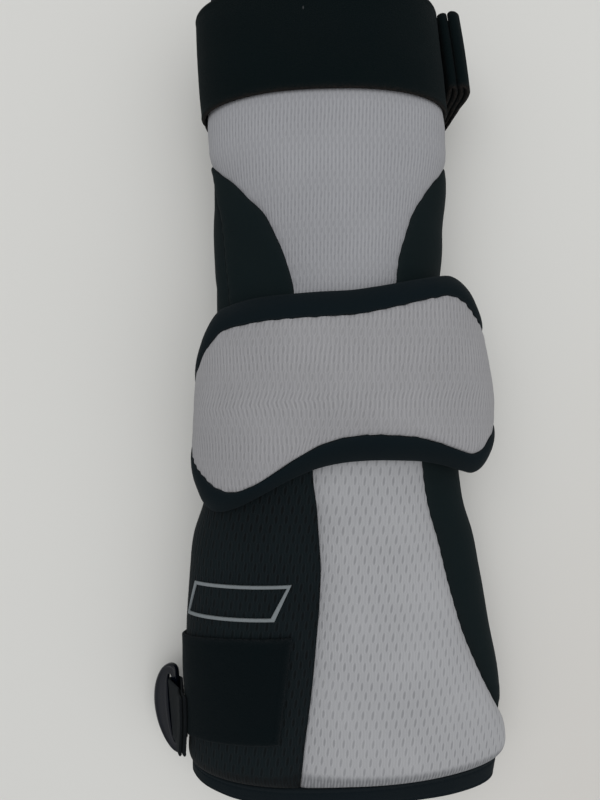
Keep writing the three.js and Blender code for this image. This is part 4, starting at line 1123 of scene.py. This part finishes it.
def ringOutline(bowInset, barInset, endInset, roundness):
    # the D drawn flat: a straight bar, two round corners and a bow to the left
    half, depth = ring["length"] / 2 - endInset, ring["depth"] - bowInset - barInset
    corner = min(ring["corner"], depth / 3)
    left, near = -barInset - depth, -barInset - corner
    deep = -barInset - depth * roundness
    t = np.linspace(0, 1, ring["curveRows"], endpoint=False)
    bow = half * ring["bowHeight"]
    return np.concatenate([
        bezier([(-barInset, -half + corner), (-barInset, half - corner)], t),
        bezier([(-barInset, half - corner), (-barInset, half), (near, half)], t[::2]),
        bezier([(near, half), (deep, half), (left, bow), (left, 0)], t),
        bezier([(left, 0), (left, -bow), (deep, -half), (near, -half)], t),
        bezier([(near, -half), (-barInset, -half), (-barInset, -half + corner)], t[::2]),
    ])


def signedPower(value, power):
    return np.sign(value) * np.abs(value) ** power


def makeRing():
    # the outer and the hole's outline, joined by the profile
    outer = ringOutline(0, 0, 0, ring["roundness"])
    inner = ringOutline(ring["bow"], ring["bar"], ring["end"], ring["holeRoundness"])
    angle = np.linspace(0, 2 * np.pi, ring["profileRows"], endpoint=False)
    across = 0.5 - 0.5 * signedPower(np.cos(angle), ring["acrossPower"])
    lip = 1 - ring["lipDrop"] * smooth(across, *ring["lipInside"])
    lip += ring["holeRise"] * smooth(across, *ring["holeEdge"])
    height = ring["thickness"] / 2 * signedPower(np.sin(angle), ring["heightPower"]) * lip
    flat = outer[:, None, :] + (inner - outer)[:, None, :] * across[None, :, None]
    x, y = flat[..., 0] + ring["bar"] / 2, flat[..., 1]
    z = height[None, :] + 0 * x
    slope, twist = math.radians(-ring["slope"]), math.radians(ring["twist"])
    x, z = math.cos(slope) * x + math.sin(slope) * z, -math.sin(slope) * x + math.cos(slope) * z
    x, y = math.cos(twist) * x - math.sin(twist) * y, math.sin(twist) * x + math.cos(twist) * y
    loops = np.stack([x + barMiddle[0], y + ring["place"] - padLength / 2, z + barMiddle[1]], -1) / 1000
    piece = loftPiece("d_ring", loops, flat, ends="ring")
    return dress(piece, "forearm_ring", ringNavy)


makeRing()
makeKeeper()
print("ring and keeper made")

badge = {
    "length": 48.5, "height": 17.5, "slant": 6.5, "tilt": 3, "line": 1.7, "relief": 0.7, "place": 102,
    "turn": 130.5, "sideRows": 60, "profileRows": 16, "acrossPower": 0.7, "topPower": 0.6, "sunk": 0.6,
    "seat": 0.3,
}


def makeBadge():
    # a raised line along the four sides of a slanted box, its profile a rounded bar
    tilt = math.radians(badge["tilt"])
    corners = np.array([[across * badge["length"] + up * badge["slant"], up * badge["height"]]
                        for across, up in ((-1, -1), (1, -1), (1, 1), (-1, 1))]) / 2
    t = np.linspace(0, 1, badge["sideRows"], endpoint=False)[:, None]
    path = np.concatenate([a + (b - a) * t for a, b in zip(corners, np.roll(corners, -1, 0))])
    angle = np.linspace(0, 2 * np.pi, badge["profileRows"], endpoint=False)
    line = badge["line"] * (0.5 - 0.5 * signedPower(np.cos(angle), badge["acrossPower"]))
    raised = np.abs(np.sin(angle)) ** badge["topPower"]
    lift = badge["relief"] * np.where(np.sin(angle) > 0, raised, -badge["sunk"])
    wide = path[:, :1] * (1 - 2 * line / badge["length"])
    tall = path[:, 1:] * (1 - 2 * line / badge["height"])
    along = (badge["place"] + tall * math.cos(tilt) + wide * math.sin(tilt)) / padLength
    out = wide * math.cos(tilt) - tall * math.sin(tilt)
    turns = badge["turn"] - out * turnPerLength(along, badge["turn"])
    loops = sleevePoint(along, turns, outerLift(along, turns) + badge["seat"] + lift)
    piece = loftPiece("badge_outline", loops, flatPlaces(wide, tall), ends="ring")
    return dress(piece, "badge_frame", printGrey)


makeBadge()
print("badge made")

# The floor grows darker and warmer towards its lower right, which is painted shade.
studio = {
    "floorPlain": tint(209, 209, 206), "floorShadedCorner": tint(200, 198, 194), "cornerStart": 0.06,
    "cornerFull": 0.3, "cornerLean": -0.5, "floorHalf": 4, "surround": 0.65,
    "lights": {"top light": ((-0.25, 0.5, 1.5), 1.6, 9.0), "side light": ((0.9, -0.4, 1.0), 1.2, 3.6)},
}


def makeStudio():
    floorMesh = bpy.data.meshes.new("floor")
    half = studio["floorHalf"]
    floorMesh.from_pydata([(-half, -half, 0), (half, -half, 0), (half, half, 0), (-half, half, 0)], [],
                          [(0, 1, 2, 3)])
    floor = bpy.data.objects.new("floor", floorMesh)
    bpy.context.scene.collection.objects.link(floor)
    material, tree, shader = openMaterial("floor", {"Roughness": 0.7, "Specular IOR Level": 0.2})
    place = addNode(tree, "ShaderNodeTexCoord", {}).outputs["Object"]
    split = addNode(tree, "ShaderNodeSeparateXYZ", {"Vector": place}).outputs
    # painted shade: the floor's colour darkens towards the lower right
    towardsCorner = calc(tree, "MULTIPLY_ADD", split["Y"], studio["cornerLean"], split["X"])
    share = ramp(tree, towardsCorner, studio["cornerStart"], studio["cornerFull"])
    color = blend(tree, share, studio["floorPlain"], studio["floorShadedCorner"])
    tree.links.new(color, shader.inputs["Base Color"])
    floorMesh.materials.append(material)
    world = bpy.data.worlds.new("surround")
    world.use_nodes = True
    world.node_tree.nodes["Background"].inputs["Color"].default_value = (1, 1, 1, 1)
    world.node_tree.nodes["Background"].inputs["Strength"].default_value = studio["surround"]
    bpy.context.scene.world = world
    for name, (place, size, power) in studio["lights"].items():
        data = bpy.data.lights.new(name, "AREA")
        data.size, data.energy = size, power
        light = bpy.data.objects.new(name, data)
        light.location = place
        light.rotation_euler = (-Vector(place)).to_track_quat("-Z", "Y").to_euler()      # towards the pad
        bpy.context.scene.collection.objects.link(light)
    bpy.context.scene.view_settings.view_transform = "Standard"


makeStudio()
print("studio made")
